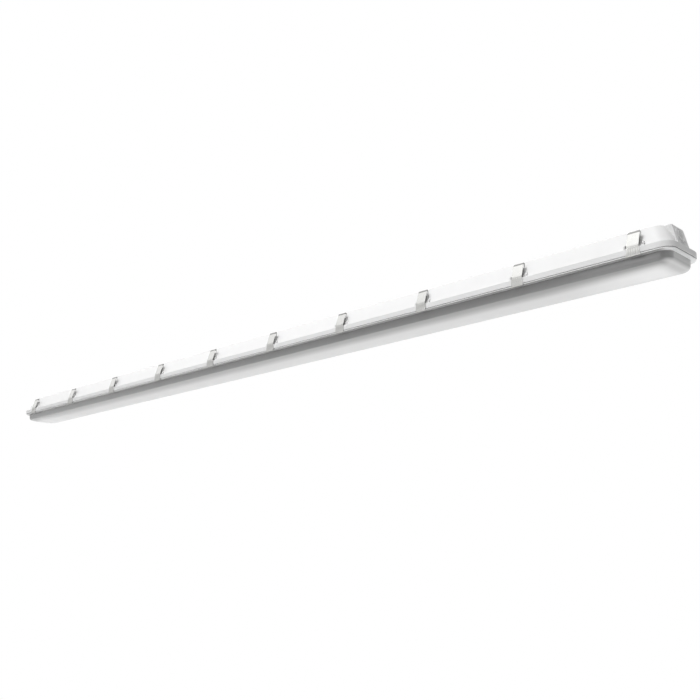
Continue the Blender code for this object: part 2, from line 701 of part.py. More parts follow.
def clip_mesh():
    """The formed sheet clip, with its ribs raised from the grip."""
    stations = clip_stations()
    grip = next(index for index, (station, after) in enumerate(zip(stations, stations[1:]))
                if station[2] == CLIP_TOP_WIDTH and after[2] == CLIP_FOOT_WIDTH)
    bm = bmesh.new()
    outer, inner = [], []
    for index, (out, up, width) in enumerate(stations):
        before = Vector(stations[max(index - 1, 0)][:2])
        after = Vector(stations[min(index + 1, len(stations) - 1)][:2])
        along = (after - before).normalized()
        normal = Vector((-along.y, along.x)) * CLIP_THICKNESS / 2
        row = []
        shares = [0, 1]
        if index in (grip, grip + 1):
            shares = [0, *rib_shares(), 1]
        for share in shares:
            row.append(bm.verts.new((width * (share - 1 / 2), -(out + normal.x), up + normal.y)))
        outer.append(row)
        inner.append([bm.verts.new((width * (share - 1 / 2), -(out - normal.x), up - normal.y))
                      for share in (0, 1)])
    ribs = []
    for index in range(len(stations) - 1):
        top, bottom = outer[index], outer[index + 1]
        if index == grip:
            for column in range(len(top) - 1):
                face = bm.faces.new((top[column], top[column + 1],
                                     bottom[column + 1], bottom[column]))
                if column % 2:
                    ribs.append(face)
        else:
            bm.faces.new(top + list(reversed(bottom)))
        bm.faces.new((inner[index][1], inner[index][0], inner[index + 1][0], inner[index + 1][1]))
        for end in (0, -1):
            bm.faces.new((outer[index][end], outer[index + 1][end],
                          inner[index + 1][end], inner[index][end]))
    for index in (0, -1):
        bm.faces.new((outer[index][0], outer[index][-1], inner[index][1], inner[index][0]))
    bmesh.ops.recalc_face_normals(bm, faces=bm.faces)
    for face in ribs:
        raise_rib(bm, face)
    return mesh_from(bm, "clip")


def raise_rib(bm, face):
    """Raise one rib from its strip of the grip, with drafted flanks and ends."""
    raised = bmesh.ops.extrude_face_region(bm, geom=[face])["geom"]
    verts = [item for item in raised if isinstance(item, bmesh.types.BMVert)]
    bmesh.ops.delete(bm, geom=[face], context="FACES_ONLY")
    middle = sum((vert.co for vert in verts), Vector()) / len(verts)
    half = max(abs(vert.co.z - middle.z) for vert in verts)
    for vert in verts:
        vert.co.y -= RIB_HEIGHT
        vert.co.x = middle.x + (vert.co.x - middle.x) * RIB_TOP_SHARE
        vert.co.z = middle.z + (vert.co.z - middle.z) * (1 - RIB_MARGIN / half)


def add_latches(parent):
    """Every latch: a bail hinged in its ears and a clip hinged on the bail."""
    bail = bail_mesh()
    clip = clip_mesh()
    out = BAIL_PIVOT_INSET - BAIL_TOP_INSET
    for number, x, side in latch_places():
        turn = math.pi if side > 0 else 0
        pivot = (x, side * (HALF_WIDTH - BAIL_PIVOT_INSET), -BAIL_PIVOT_DEPTH)
        wire = place(f"bail_{number:02d}", bail, "stainless_wire", pivot, turn, parent)
        place(f"clip_{number:02d}", clip, "stainless_sheet", (0, -out, BAIL_HEIGHT), 0, wire)


def solid_of(base, *steps):
    """Mesh of a base after a run of (operation, mesh) Booleans."""
    target = guide("base_form", base)
    others = []
    for operation, mesh in steps:
        others.append(guide("step_form", mesh))
        boolean(target, operation, others[-1])
    bpy.context.view_layer.update()
    graph = bpy.context.evaluated_depsgraph_get()
    result = bpy.data.meshes.new_from_object(target.evaluated_get(graph))
    for thing in (target, *others):
        bpy.data.objects.remove(thing, do_unlink=True)
    result.shade_smooth()
    result.set_sharp_from_angle(angle=SMOOTH_ANGLE)
    return result


def plug_mesh():
    """Blanking plug about the pad's face: cap out along +Z, stem down -Z."""
    body = bmesh.new()
    rod_into(body, PLUG_CAP_RADIUS, (0, 0, SEAT_GAP), (0, 0, PLUG_CAP_HEIGHT), PLUG_SIDES)
    rim = [edge for edge in body.edges
           if all(vert.co.z > PLUG_CAP_HEIGHT - SEAT_GAP for vert in edge.verts)]
    bmesh.ops.bevel(body, geom=rim, offset=PLUG_CAP_ROUND, segments=1, affect="EDGES")
    stem = bmesh.new()
    rod_into(stem, PLUG_STEM_RADIUS, (0, 0, -PLUG_STEM_LENGTH), (0, 0, PLUG_CAP_HEIGHT / 2),
             PLUG_SIDES)
    slots = []
    for length, width in ((PLUG_SLOT_LENGTH, PLUG_SLOT_WIDTH), (PLUG_SLOT_WIDTH, PLUG_SLOT_LENGTH)):
        slot = bmesh.new()
        box_into(slot, (-length / 2, -width / 2, PLUG_CAP_HEIGHT - PLUG_SLOT_DEPTH),
                 (length / 2, width / 2, PLUG_CAP_HEIGHT + OVERRUN))
        slots.append(("DIFFERENCE", mesh_from(slot, "plug_slot")))
    return solid_of(mesh_from(body, "plug_cap"), ("UNION", mesh_from(stem, "plug_stem")), *slots)


def nut_mesh():
    """Flat hexagon nut that clamps the plug from inside the pad."""
    nut = bmesh.new()
    top = -PAD_WALL - SEAT_GAP
    rod_into(nut, NUT_RADIUS, (0, 0, top - NUT_HEIGHT), (0, 0, top), NUT_SIDES)
    bore = bmesh.new()
    rod_into(bore, PLUG_STEM_RADIUS + SEAT_GAP, (0, 0, top - NUT_HEIGHT - OVERRUN),
             (0, 0, top + OVERRUN), PLUG_SIDES)
    return solid_of(mesh_from(nut, "nut_blank"), ("DIFFERENCE", mesh_from(bore, "nut_bore")))


def add_plugs(parent):
    """A blanking plug and its nut in the entry at each end."""
    plug = plug_mesh()
    nut = nut_mesh()
    for side, label in ((1, "near"), (-1, "far")):
        centre, outward = entry_axis(side)
        for kind, mesh, colour in (("plug", plug, "plug_plastic"), ("nut", nut, "plug_plastic")):
            thing = place(f"entry_{kind}_{label}", mesh, colour, centre, parent=parent)
            thing.rotation_euler = outward.to_track_quat("Z", "Y").to_euler()


def tray_outline():
    """Section of the gear tray in (y, z): a flat pan with leaning lips.

    The lips' top edges stand clear of the housing's inner walls.
    """
    top = -TRAY_DEPTH
    bottom = top - TRAY_THICKNESS
    lip_top = bottom + TRAY_LIP_HEIGHT
    lip = HALF_WIDTH - inner_inset(-lip_top) - TRAY_SIDE_GAP
    half = lip - TRAY_LIP_SPREAD
    right = [(half, bottom), (lip, lip_top), (lip - TRAY_THICKNESS, lip_top),
             (half - TRAY_THICKNESS, top)]
    return right + [(-y, z) for y, z in reversed(right)]


def add_tray(parent):
    """The folded steel gear tray, slotted for its quarter-turn buttons."""
    pan = bmesh.new()
    reach = HALF_LENGTH - TRAY_END_DISTANCE
    prism_into(pan, tray_outline(), -reach, reach)
    slots = bmesh.new()
    half_length = BUTTON_BAR_LENGTH / 2 + BUTTON_SLOT_GAP
    half_width = BUTTON_BAR_WIDTH / 2 + BUTTON_SLOT_GAP
    for x in pillar_places():
        box_into(slots, (x - half_length, -half_width, -TRAY_DEPTH - TRAY_THICKNESS - OVERRUN),
                 (x + half_length, half_width, OVERRUN - TRAY_DEPTH))
    tray = place("gear_tray", mesh_from(pan, "gear_tray"), "tray_white", parent=parent)
    boolean(tray, "DIFFERENCE", guide("tray_slot_cutter", mesh_from(slots, "tray_slots")))


def button_mesh():
    """Quarter-turn button about the tray's underside: stem up, bar across Y below."""
    stem = bmesh.new()
    rod_into(stem, BUTTON_STEM_RADIUS, (0, 0, -BUTTON_BAR_HEIGHT / 2),
             (0, 0, TRAY_THICKNESS + BUTTON_STEM_REACH), PILLAR_SIDES)
    bar = bmesh.new()
    box_into(bar, (-BUTTON_BAR_WIDTH / 2, -BUTTON_BAR_LENGTH / 2, -SEAT_GAP - BUTTON_BAR_HEIGHT),
             (BUTTON_BAR_WIDTH / 2, BUTTON_BAR_LENGTH / 2, -SEAT_GAP))
    grip = bmesh.new()
    box_into(grip, (-BUTTON_GRIP_WIDTH / 2, -BUTTON_BAR_LENGTH / 4,
                    -SEAT_GAP - BUTTON_BAR_HEIGHT - BUTTON_GRIP_HEIGHT),
             (BUTTON_GRIP_WIDTH / 2, BUTTON_BAR_LENGTH / 4, -SEAT_GAP - BUTTON_BAR_HEIGHT / 2))
    return solid_of(mesh_from(bar, "button_bar"), ("UNION", mesh_from(stem, "button_stem")),
                    ("UNION", mesh_from(grip, "button_grip")))


def add_buttons(parent):
    """One quarter-turn button under each pillar."""
    button = button_mesh()
    for number, x in enumerate(pillar_places(), 1):
        place(f"tray_button_{number}", button, "button_nylon",
              (x, 0, -TRAY_DEPTH - TRAY_THICKNESS), parent=parent)


def board_mesh():
    """A light board about its top face's middle, its emitters facing down."""
    length = PILLAR_PITCH - 2 * BOARD_END_GAP
    board = bmesh.new()
    box_into(board, (-length / 2, -BOARD_WIDTH / 2, -BOARD_THICKNESS),
             (length / 2, BOARD_WIDTH / 2, 0))
    emitters = bmesh.new()
    for index in range(EMITTER_COUNT):
        x = length * ((index + 1 / 2) / EMITTER_COUNT - 1 / 2)
        box_into(emitters, (x - EMITTER_SIZE / 2, -EMITTER_SIZE / 2, -BOARD_THICKNESS - EMITTER_HEIGHT),
                 (x + EMITTER_SIZE / 2, EMITTER_SIZE / 2, -BOARD_THICKNESS / 2))
    return solid_of(mesh_from(board, "board"), ("UNION", mesh_from(emitters, "emitters")))


def add_boards(parent):
    """Light boards in a row under the tray, between the buttons."""
    board = board_mesh()
    places = pillar_places()
    for number, (before, after) in enumerate(zip(places, places[1:]), 1):
        place(f"led_board_{number}", board, "board_white",
              ((before + after) / 2, 0, -TRAY_DEPTH - TRAY_THICKNESS - SEAT_GAP), parent=parent)


def add_driver(parent):
    """The driver's case with a screw foot at each end, on top of the tray."""
    floor = SEAT_GAP - TRAY_DEPTH
    case = bmesh.new()
    box_into(case, (DRIVER_PLACE - DRIVER_LENGTH / 2, -DRIVER_WIDTH / 2, floor),
             (DRIVER_PLACE + DRIVER_LENGTH / 2, DRIVER_WIDTH / 2, floor + DRIVER_HEIGHT))
    top = [edge for edge in case.edges
           if all(vert.co.z > floor + DRIVER_HEIGHT / 2 for vert in edge.verts)]
    bmesh.ops.bevel(case, geom=top, offset=DRIVER_EDGE_ROUND, segments=2, affect="EDGES")
    feet = bmesh.new()
    reach = DRIVER_LENGTH / 2 + DRIVER_FOOT_LENGTH
    box_into(feet, (DRIVER_PLACE - reach, -DRIVER_WIDTH / 2 + DRIVER_EDGE_ROUND, floor),
             (DRIVER_PLACE + reach, DRIVER_WIDTH / 2 - DRIVER_EDGE_ROUND, floor + DRIVER_FOOT_HEIGHT))
    driver = solid_of(mesh_from(case, "driver_case"), ("UNION", mesh_from(feet, "driver_feet")))
    place("driver", driver, "driver_case", parent=parent)


def add_terminal_block(parent):
    """The mains terminal block, with a wire port for each pole at both ends."""
    floor = SEAT_GAP - TRAY_DEPTH
    block = bmesh.new()
    box_into(block, (TERMINAL_PLACE - TERMINAL_WIDTH / 2, -TERMINAL_LENGTH / 2, floor),
             (TERMINAL_PLACE + TERMINAL_WIDTH / 2, TERMINAL_LENGTH / 2, floor + TERMINAL_HEIGHT))
    ports = bmesh.new()
    pitch = TERMINAL_LENGTH / TERMINAL_POLES
    half = pitch * TERMINAL_PORT_SHARE / 2
    middle = floor + TERMINAL_HEIGHT / 2
    for index in range(TERMINAL_POLES):
        y = pitch * (index - (TERMINAL_POLES - 1) / 2)
        for side in (-1, 1):
            face = TERMINAL_PLACE + side * TERMINAL_WIDTH / 2
            ends = sorted((face - side * TERMINAL_PORT_DEPTH, face + side * OVERRUN))
            box_into(ports, (ends[0], y - half, middle - half), (ends[1], y + half, middle + half))
    solid = solid_of(mesh_from(block, "terminal_block"), ("DIFFERENCE", mesh_from(ports, "ports")))
    place("terminal_block", solid, "terminal_plastic", parent=parent)


def main():
    """Build every piece under one empty at the middle of the back."""
    clear_scene()
    fixture = bpy.data.objects.new("fixture", None)
    bpy.context.scene.collection.objects.link(fixture)
    add_housing(fixture)
    add_gasket(fixture)
    add_lens(fixture)
    add_tray(fixture)
    add_buttons(fixture)
    add_boards(fixture)
    add_driver(fixture)
    add_terminal_block(fixture)
    add_plugs(fixture)
    add_latches(fixture)


main()
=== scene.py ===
import math

import bpy
import numpy as np
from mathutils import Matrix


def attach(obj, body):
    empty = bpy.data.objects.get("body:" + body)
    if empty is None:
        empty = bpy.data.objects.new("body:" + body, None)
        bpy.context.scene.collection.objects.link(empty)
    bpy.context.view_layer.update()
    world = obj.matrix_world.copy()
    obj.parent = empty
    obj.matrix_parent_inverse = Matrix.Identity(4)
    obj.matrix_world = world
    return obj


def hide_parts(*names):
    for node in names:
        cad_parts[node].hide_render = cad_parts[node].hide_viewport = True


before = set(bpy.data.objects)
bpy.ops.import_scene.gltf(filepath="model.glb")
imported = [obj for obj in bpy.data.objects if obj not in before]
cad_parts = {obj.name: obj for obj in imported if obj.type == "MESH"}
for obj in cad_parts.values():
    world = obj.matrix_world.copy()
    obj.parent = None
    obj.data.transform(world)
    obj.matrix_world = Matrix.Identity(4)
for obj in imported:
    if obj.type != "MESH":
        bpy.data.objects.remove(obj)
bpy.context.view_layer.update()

# Rim, the outline that housing, gasket and lens all follow
RIM_LENGTH = 2.395
RIM_WIDTH = 0.121
RIM_CORNER_RADIUS = 0.024
RIM_TOP_DEPTH = 0.040
RIM_HEIGHT = 0.012
HALF_LENGTH = RIM_LENGTH / 2
HALF_WIDTH = RIM_WIDTH / 2
RIM_BOTTOM_DEPTH = RIM_TOP_DEPTH + RIM_HEIGHT

# Housing shell.  The eases of the back's edge and of the rim's are the scene's own.
WALL_FOOT_INSET = 0.005
WALL_TOP_INSET = 0.0226
WALL_CORNER_RADIUS = 0.026
WALL_THICKNESS = 0.003
WALL_LEAN = (WALL_TOP_INSET - WALL_FOOT_INSET) / RIM_TOP_DEPTH
BACK_THICKNESS = 0.0028
BACK_EDGE_EASE = 0.0029
WALL_FOOT_EASE = 0.0009
RIM_EDGE_EASE = 0.0018
RIM_FOOT_EASE = 0.0005
GROOVE_INSET = 0.0032
GROOVE_WIDTH = 0.0046
GROOVE_DEPTH = 0.0055
RIM_INNER_INSET = 0.011
RIM_INNER_RISE = 0.0075
SMALL_EASE = 0.0003

# Flat pad at each end, and its blanking plug.  The plug's dish, the size of its slot
# and the pad's ring are the scene's own.
PAD_WIDTH = 0.0466
PAD_FOOT_INSET = 0.0033
PAD_TOP_INSET = 0.013
PAD_LEAN = (PAD_TOP_INSET - PAD_FOOT_INSET) / RIM_TOP_DEPTH
PAD_ROOT_INSET = 0.0255
PAD_CORNER_RADIUS = 0.0012
PAD_TOP_EASE = 0.0008
PAD_SINK = 0.0005
ENTRY_DEPTH = 0.0195
PLUG_CAP_RADIUS = 0.0118
PLUG_CAP_HEIGHT = 0.0014
PLUG_CAP_EASE = 0.0005
PLUG_DISH_RADIUS = 0.0092
PLUG_DISH_DEPTH = 0.0009
PLUG_DISH_EASE = 0.0003
PLUG_STEM_RADIUS = 0.0099
PLUG_STEM_LENGTH = 0.009
PLUG_SLOT_LENGTH = 0.0076
PLUG_SLOT_WIDTH = 0.0021
PLUG_SLOT_DEPTH = 0.0016
PLUG_SEAT_GAP = 0.0003
PAD_RING_RADIUS = 0.0160
PAD_RING_WIDTH = 0.0024
PAD_RING_HEIGHT = 0.0007

# Lens.  The ease of its flange and the round of its end are the scene's own.
LENS_GAP = 0.0008
FLANGE_INSET = 0.0012
FLANGE_HEIGHT = 0.0027
FLANGE_EASE = 0.0005
TONGUE_WIDTH = 0.0022
LENS_WALL_INSET = 0.0102
LENS_END_INSET = 0.009
LENS_CORNER_RADIUS = 0.019
LENS_WALL_HEIGHT = 0.0165
LENS_WALL_DRAFT = 0.0011
LENS_THICKNESS = 0.002
LENS_SIDE_ROUND = 0.0018
LENS_END_ROUND = 0.0088
LENS_BOW_DEPTH = 0.0062
LENS_BOW_REACH = 0.036
LENS_BOW_CORNER_RADIUS = 0.008
LENS_EDGE_ANGLE = math.radians(20)
LENS_FLANGE_ROOT = 0.0006
LENS_WALL_LEG = 0.0006
FLANGE_TOP_DEPTH = RIM_BOTTOM_DEPTH + LENS_GAP
FLANGE_BOTTOM_DEPTH = FLANGE_TOP_DEPTH + FLANGE_HEIGHT
LENS_FOOT_DEPTH = 0.0799

# Gasket in the groove.  Its lip is the scene's own.
GASKET_SIDE_GAP = 0.0003
GASKET_THICKNESS = 0.0034
GASKET_CROWN = 0.0004
GASKET_SKIRT = 0.0007
GASKET_LIP_INSET = 0.0020
GASKET_LIP_END_INSET = 0.0009
GASKET_LIP_GAP = 0.00012

# Latches
LATCH_COUNT = 10
LATCH_END_DISTANCE = 0.0725
LATCH_PITCH = (RIM_LENGTH - 2 * LATCH_END_DISTANCE) / (LATCH_COUNT - 1)
WIRE_RADIUS = 0.0008
WIRE_GAP = 0.0003
BAIL_WIDTH = 0.028
BAIL_PIVOT_INSET = 0.006
BAIL_PIVOT_DEPTH = RIM_TOP_DEPTH - 0.0064
BAIL_TOP_INSET = 0.010
BAIL_HEIGHT = 0.0249
BAIL_TOP_DEPTH = BAIL_PIVOT_DEPTH - BAIL_HEIGHT
BAIL_BEND_REACH = 0.0018
BAIL_JOG_SHARE = 0.26
BAIL_FOOT_SPREAD = 0.0026
BAIL_TIP_SHARE = 0.25
EAR_CLEARANCE = 0.0004
EAR_THICKNESS = 0.0034
EAR_NOSE_RADIUS = 0.0025
EAR_ROOT_DEPTH = 0.002
EAR_FLOOR = 0.0014
EAR_EDGE_EASE = 0.0004
EAR_DISTANCE = BAIL_WIDTH / 2 + BAIL_FOOT_SPREAD + EAR_CLEARANCE
PIN_REACH = EAR_DISTANCE + EAR_THICKNESS - EAR_FLOOR - WIRE_GAP
CLIP_THICKNESS = 0.0008
CLIP_TOP_WIDTH = 0.0242
CLIP_CURL_WIDTH = 0.0218
CLIP_FOOT_WIDTH = 0.028
CLIP_CURL_ANGLE = math.radians(250)
CLIP_FACE_GAP = 0.0006
CLIP_KNEE_RISE = 0.0018
CLIP_KNEE_ROUND = 0.0016
CLIP_LIP_GAP = 0.0004
CLIP_LIP_REACH = 0.0034
CLIP_LIP_ROUND = 0.0011
RIB_COUNT = 5
RIB_SHARE = 0.52
RIB_HEIGHT = 0.0007
RIB_TOP_SHARE = 0.55
RIB_MARGIN = 0.0012

# Pillars inside the housing
PILLAR_RADIUS = 0.0065
PILLAR_COUNT = 5
PILLAR_END_DISTANCE = 0.0775
PILLAR_PITCH = (RIM_LENGTH - 2 * PILLAR_END_DISTANCE) / (PILLAR_COUNT - 1)
PILLAR_FOOT_DEPTH = 0.0357
PILLAR_BORE_RADIUS = 0.0033
PILLAR_BORE_LENGTH = 0.0123

# Fineness of the surfaces
CORNER_STEPS = 14
SIDE_STEPS = 40
EASE_STEPS = 5
BOW_STEPS = 14
ROUND_STEPS = 8
RING_SIDES = 48
PILLAR_SIDES = 32
WIRE_SIDES = 12
BEND_STEPS = 7
CURL_STEPS = 21
SHOULDER_STEPS = 4
TONGUE_STEPS = 5
GUARD_SHARE = 0.35
SIDE_GUARD_SHARE = 0.0035
END_SHARES = (0.12, 0.45, 0.8, 0.97)
SMOOTH_ANGLE = math.radians(38)

# Where the materials change, fitted to the photograph's light
NOISE_RANGE = (0.3, 0.7)
# Blend at the edge of the painted shade in the plug's slot and along the clip's curl
PAINTED_SHADE_BLEND = 0.0002
# Depth below the dish's floor where the painted shade in the plug's slot begins
SLOT_PAINTED_SHADE_DEPTH = 0.0003
# Reach of the painted shade along the clip's curl, below the top of the bail
CURL_PAINTED_SHADE_DEPTH = 0.0024
# Painted light and shade of the lens by share of its depth below the flange: painted shade high on
# the wall, painted light on the bottom
LENS_PAINTED_LIGHT_TONES = ((0.0, "#666666"), (0.66, "#777777"), (0.76, "#757575"), (0.87, "#818181"),
              (0.95, "#9E9E9E"), (1.0, "#C0C0C0"))
# Painted light on the lens bottom towards both ends: its reach along X, its shares of depth and its
# strength
LENS_PAINTED_LIGHT_REACH = (0.90, 1.18)
LENS_PAINTED_LIGHT_SHARES = (0.80, 1.0)
LENS_PAINTED_LIGHT_MOST = 0.75
# Reach along X of the painted light at the lens ends, used for the glow low on the end walls and
# the flange's highlight; then the heights of that glow
LENS_END_PAINTED_LIGHT_REACH = (HALF_LENGTH - 0.029, HALF_LENGTH - 0.010)
LENS_END_GLOW_HEIGHTS = (-0.0675, -0.0795)
# Heights of the painted highlight on the flange's edge, and over the whole flange at the ends
FLANGE_HIGHLIGHT_EDGE_HEIGHTS = (0.0003 - FLANGE_BOTTOM_DEPTH, 0.0008 - FLANGE_BOTTOM_DEPTH)
FLANGE_HIGHLIGHT_FOOT_HEIGHTS = (-FLANGE_BOTTOM_DEPTH - 0.0006, -FLANGE_BOTTOM_DEPTH)

# Room
FLOOR_RADIUS = 4.5
FLOOR_DEPTH = 1.6
FLOOR_FADE = (1.2, FLOOR_RADIUS * 0.95)
FLOOR_RINGS = 18
FLOOR_SIDES = 96
SKY_LOW = 0.19
SKY_HIGH = 0.28
SOFTBOXES = (
    # name, place, turn about X and Y in degrees, length, height, radiance, mirrored
    ("key_softbox", (0.85, -2.5, 4.5), (31, 5), 3.2, 2.4, 10.2, False),
    ("sheen_softbox", (-3.4, -0.9, 2.3), (20, 0), 9.0, 1.2, 1.25, True),
    ("near_sheen_softbox", (0.0, -0.92, 2.3), (20, 0), 1.9, 1.2, 0.8, True),
    ("grip_softbox", (0.3, -1.75, 0.6), (70, 0), 0.55, 0.45, 1.9, True),
    ("back_softbox", (-1.6, 3.0, -0.1), (-90, -28), 3.4, 1.4, 3.8, False),
    ("bounce_card", (0.0, -0.3, -1.35), (180, 0), 4.6, 1.8, 0.72, True),
    ("near_bounce_card", (1.7, -0.3, -1.0), (180, 0), 1.2, 1.0, 0.8, True),
)

# Camera, as fitted to the photograph: metres, degrees and millimetres
CAMERA_PLACE = (1.8601, -1.5391, -0.6295)
CAMERA_RISE = 14.225
CAMERA_HEADING = 44.457
CAMERA_LENS = 47.42


# -- surfaces

def skin(rings, start=0):
    """Join each closed ring to the next with quads, the last point of a ring to its first."""
    rows, count = rings.shape[:2]
    index = np.arange(rows * count).reshape(rows, count) + start
    after = np.roll(index, -1, axis=1)
    return np.stack((index[:-1], index[1:], after[1:], after[:-1]), axis=-1).reshape(-1, 4)


def capped(rings):
    """Faces of rings, with quads over both ends from each ring's half to its mirrored half."""
    rows, count = rings.shape[:2]
    near = np.arange(count // 2 - 1)
    far = count - 1 - near
    cap = np.stack((near, near + 1, far - 1, far), axis=-1)
    return np.concatenate((skin(rings), cap, cap[:, ::-1] + (rows - 1) * count))


def looped(rings):
    """Faces of rings whose last one is joined to the first again."""
    return skin(np.concatenate((rings, rings[:1]))) % (len(rings) * rings.shape[1])


def fan(count, start, pole, face_out):
    """Close a ring with triangles to its pole."""
    ring = np.arange(count)
    after = np.roll(ring, -1)
    faces = np.stack((ring + start, after + start, np.full(count, pole)), axis=-1)
    return faces if face_out else faces[:, ::-1]


def poled(rings, face_out=True):
    """Quads of the rings, and triangles from both ends to the two poles that follow them."""
    rows, count = rings.shape[:2]
    last, quads = rows * count, skin(rings)
    return [quads if face_out else quads[:, ::-1],
            np.concatenate((fan(count, 0, last, face_out),
                            fan(count, last - count, last + 1, not face_out)))]


def grid(rows, count):
    """Numbers of the points of a grid, and its quads."""
    index = np.arange(rows * count).reshape(rows, count)
    quads = np.stack((index[:-1, :-1], index[1:, :-1], index[1:, 1:], index[:-1, 1:]), axis=-1)
    return index, quads.reshape(-1, 4)


def round_angles(sides):
    """Angles of the corners of a round."""
    return np.arange(sides) / sides * 2 * math.pi


def turn_rings(profile, angle):
    """Rings of a profile of (radius, height) about Z, with their points at the angles."""
    radius, height = np.array(profile, float).T[:, :, None]
    return np.stack((radius * np.cos(angle), radius * np.sin(angle), height + 0 * angle), axis=-1)


def unit(vectors):
    """Vectors at length one."""
    return vectors / np.linalg.norm(vectors, axis=-1, keepdims=True)


def quadratic(start, corner, end, steps):
    """Quadratic curve between two points, whose end tangents meet at the corner."""
    share = np.linspace(0, 1, steps)[:, None]
    return (1 - share) ** 2 * start + 2 * share * (1 - share) * corner + share ** 2 * end


def gathered(copies):
    """Points and face sets of one form made of many, each given with its own."""
    starts = np.cumsum([0] + [len(points) for points, _ in copies])
    moved = [[faces + start for faces in face_sets]
             for (_, face_sets), start in zip(copies, starts)]
    return (np.concatenate([points for points, _ in copies]),
            [np.concatenate(kind) for kind in zip(*moved)])


def put(name, data):
    """Put an object with this data into the scene."""
    thing = bpy.data.objects.new(name, data)
    bpy.context.scene.collection.objects.link(thing)
    return thing


def add_piece(name, points, face_sets, body, nodes, slot):
    """Put a computed surface into a mesh, smooth it up to the sharp angle and let it ride."""
    sizes = np.concatenate([np.full(len(faces), faces.shape[1]) for faces in face_sets])
    corners = np.concatenate([faces.ravel() for faces in face_sets])
    mesh = bpy.data.meshes.new(name)
    mesh.vertices.add(len(points))
    mesh.vertices.foreach_set("co", np.ascontiguousarray(points, np.float32).ravel())
    mesh.loops.add(len(corners))
    mesh.loops.foreach_set("vertex_index", corners.astype(np.int32))
    mesh.polygons.add(len(sizes))
    starts = np.concatenate(([0], np.cumsum(sizes)[:-1]))
    mesh.polygons.foreach_set("loop_start", starts.astype(np.int32))
    mesh.update(calc_edges=True)
    mesh.validate()
    mesh.shade_smooth()
    mesh.set_sharp_from_angle(angle=SMOOTH_ANGLE)
    mesh.materials.append(FINISHES[slot])
    piece = put(name, mesh)
    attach(piece, body)
    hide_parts(*nodes)


def add_pair(stem, points, face_sets, node, slot):
    """Add a form at the near end and, turned half round, at the far end."""
    for label, side in (("near", 1), ("far", -1)):
        add_piece(f"{stem}_{label}", points * (side, side, 1), face_sets, "enclosure",
                  [node.format(label)], slot)


def plan_places():
    """Places round a rounded rectangle: arc centre in shares of the straight runs, and facing.

    Half of it runs from the middle of the +X end over the +Y side to the -X end,
    and the other half is its mirror image run backwards.
    """
    end = np.array(END_SHARES)
    arc = np.linspace(0, math.pi / 2, CORNER_STEPS + 1)
    run = np.linspace(1 - 4 * SIDE_GUARD_SHARE, 4 * SIDE_GUARD_SHARE - 1, SIDE_STEPS)
    side = np.concatenate(([1 - SIDE_GUARD_SHARE], run, [SIDE_GUARD_SHARE - 1]))
    corner, back = np.ones_like(arc), end[::-1]
    centre_x = np.concatenate((np.ones_like(end), corner, side, -corner, -np.ones_like(end)))
    centre_y = np.concatenate((end, corner, np.ones_like(side), corner, back))
    turn = np.concatenate((0 * end, arc, np.full_like(side, math.pi / 2), arc + math.pi / 2,
                           np.full_like(end, math.pi)))
    half = np.array((centre_x, centre_y, np.cos(turn), np.sin(turn)))
    return np.hstack((half, half[:, ::-1] * ((1,), (-1,), (1,), (-1,))))


def carry_round(stations):
    """Carry a profile round the plan.

    A station is (inset at the sides, inset at the ends, depth, plan radius).  A
    point is its arc's centre, a share of the straight run, plus the plan radius
    times the way the plan faces there.
    """
    centre_x, centre_y, facing_x, facing_y = plan_places()
    inset, end_inset, depth, radius = np.array(stations).T[:, :, None]
    x = (HALF_LENGTH - end_inset - radius) * centre_x + radius * facing_x
    y = (HALF_WIDTH - inset - radius) * centre_y + radius * facing_y
    return np.stack((x, y, 0 * x - depth), axis=-1)


def ease(corners, eases):
    """Ease the corners of a profile with arcs.

    Each inner corner becomes a quadratic curve that leaves its legs at the ease
    from the corner.  One more point stands a little outside each end of the
    curve, so that the flat legs stay flat when they are shaded smooth.
    """
    corners = np.array(corners, float)
    points = [corners[:1]]
    for before, corner, after, reach in zip(corners, corners[1:], corners[2:], eases):
        back = (before - corner) / np.linalg.norm((before - corner)[[0, 2]]) * reach
        ahead = (after - corner) / np.linalg.norm((after - corner)[[0, 2]]) * reach
        start, end = corner + back, corner + ahead
        points += [(start + back * GUARD_SHARE)[None],
                   quadratic(start, corner, end, EASE_STEPS + 1),
                   (end + ahead * GUARD_SHARE)[None]]
    points.append(corners[-1:])
    return np.concatenate(points)


def level(inset, depth, radius, end_inset=None):
    """One station of a profile, with the same inset at the ends unless another is given."""
    return inset, inset if end_inset is None else end_inset, depth, radius


# -- materials

def colour(code):
    """Linear colour of an sRGB hex code."""
    value = np.array([int(code[place:place + 2], 16) / 255 for place in (1, 3, 5)])
    linear = np.where(value <= 0.04045, value / 12.92, ((value + 0.055) / 1.055) ** 2.4)
    return (*linear.tolist(), 1.0)


def add(tree, kind, values=None, links=None, **settings):
    """Add one node with its settings, its sockets' values and its sockets' links."""
    node = tree.nodes.new(kind)
    for name, value in settings.items():
        setattr(node, name, value)
    for socket, value in (values or {}).items():
        node.inputs[socket].default_value = value
    for socket, source in (links or {}).items():
        tree.links.new(source, node.inputs[socket])
    return node


def new_material(name):
    """Empty material, its tree and, for its patterns, the place on the object in metres."""
    material = bpy.data.materials.new(name)
    material.use_nodes = True
    tree = material.node_tree
    tree.nodes.clear()
    return material, tree, add(tree, "ShaderNodeTexCoord").outputs["Object"]


def ramped(tree, source, low, high, least=0.0, most=1.0, **settings):
    """A value's way from low to high, as a value from least to most."""
    return add(tree, "ShaderNodeMapRange",
               {"From Min": low, "From Max": high, "To Min": least, "To Max": most},
               {"Value": source}, **settings).outputs["Result"]


def joined(tree, operation, first, second):
    """One value out of two."""
    return add(tree, "ShaderNodeMath", links={0: first, 1: second},
               operation=operation).outputs["Value"]


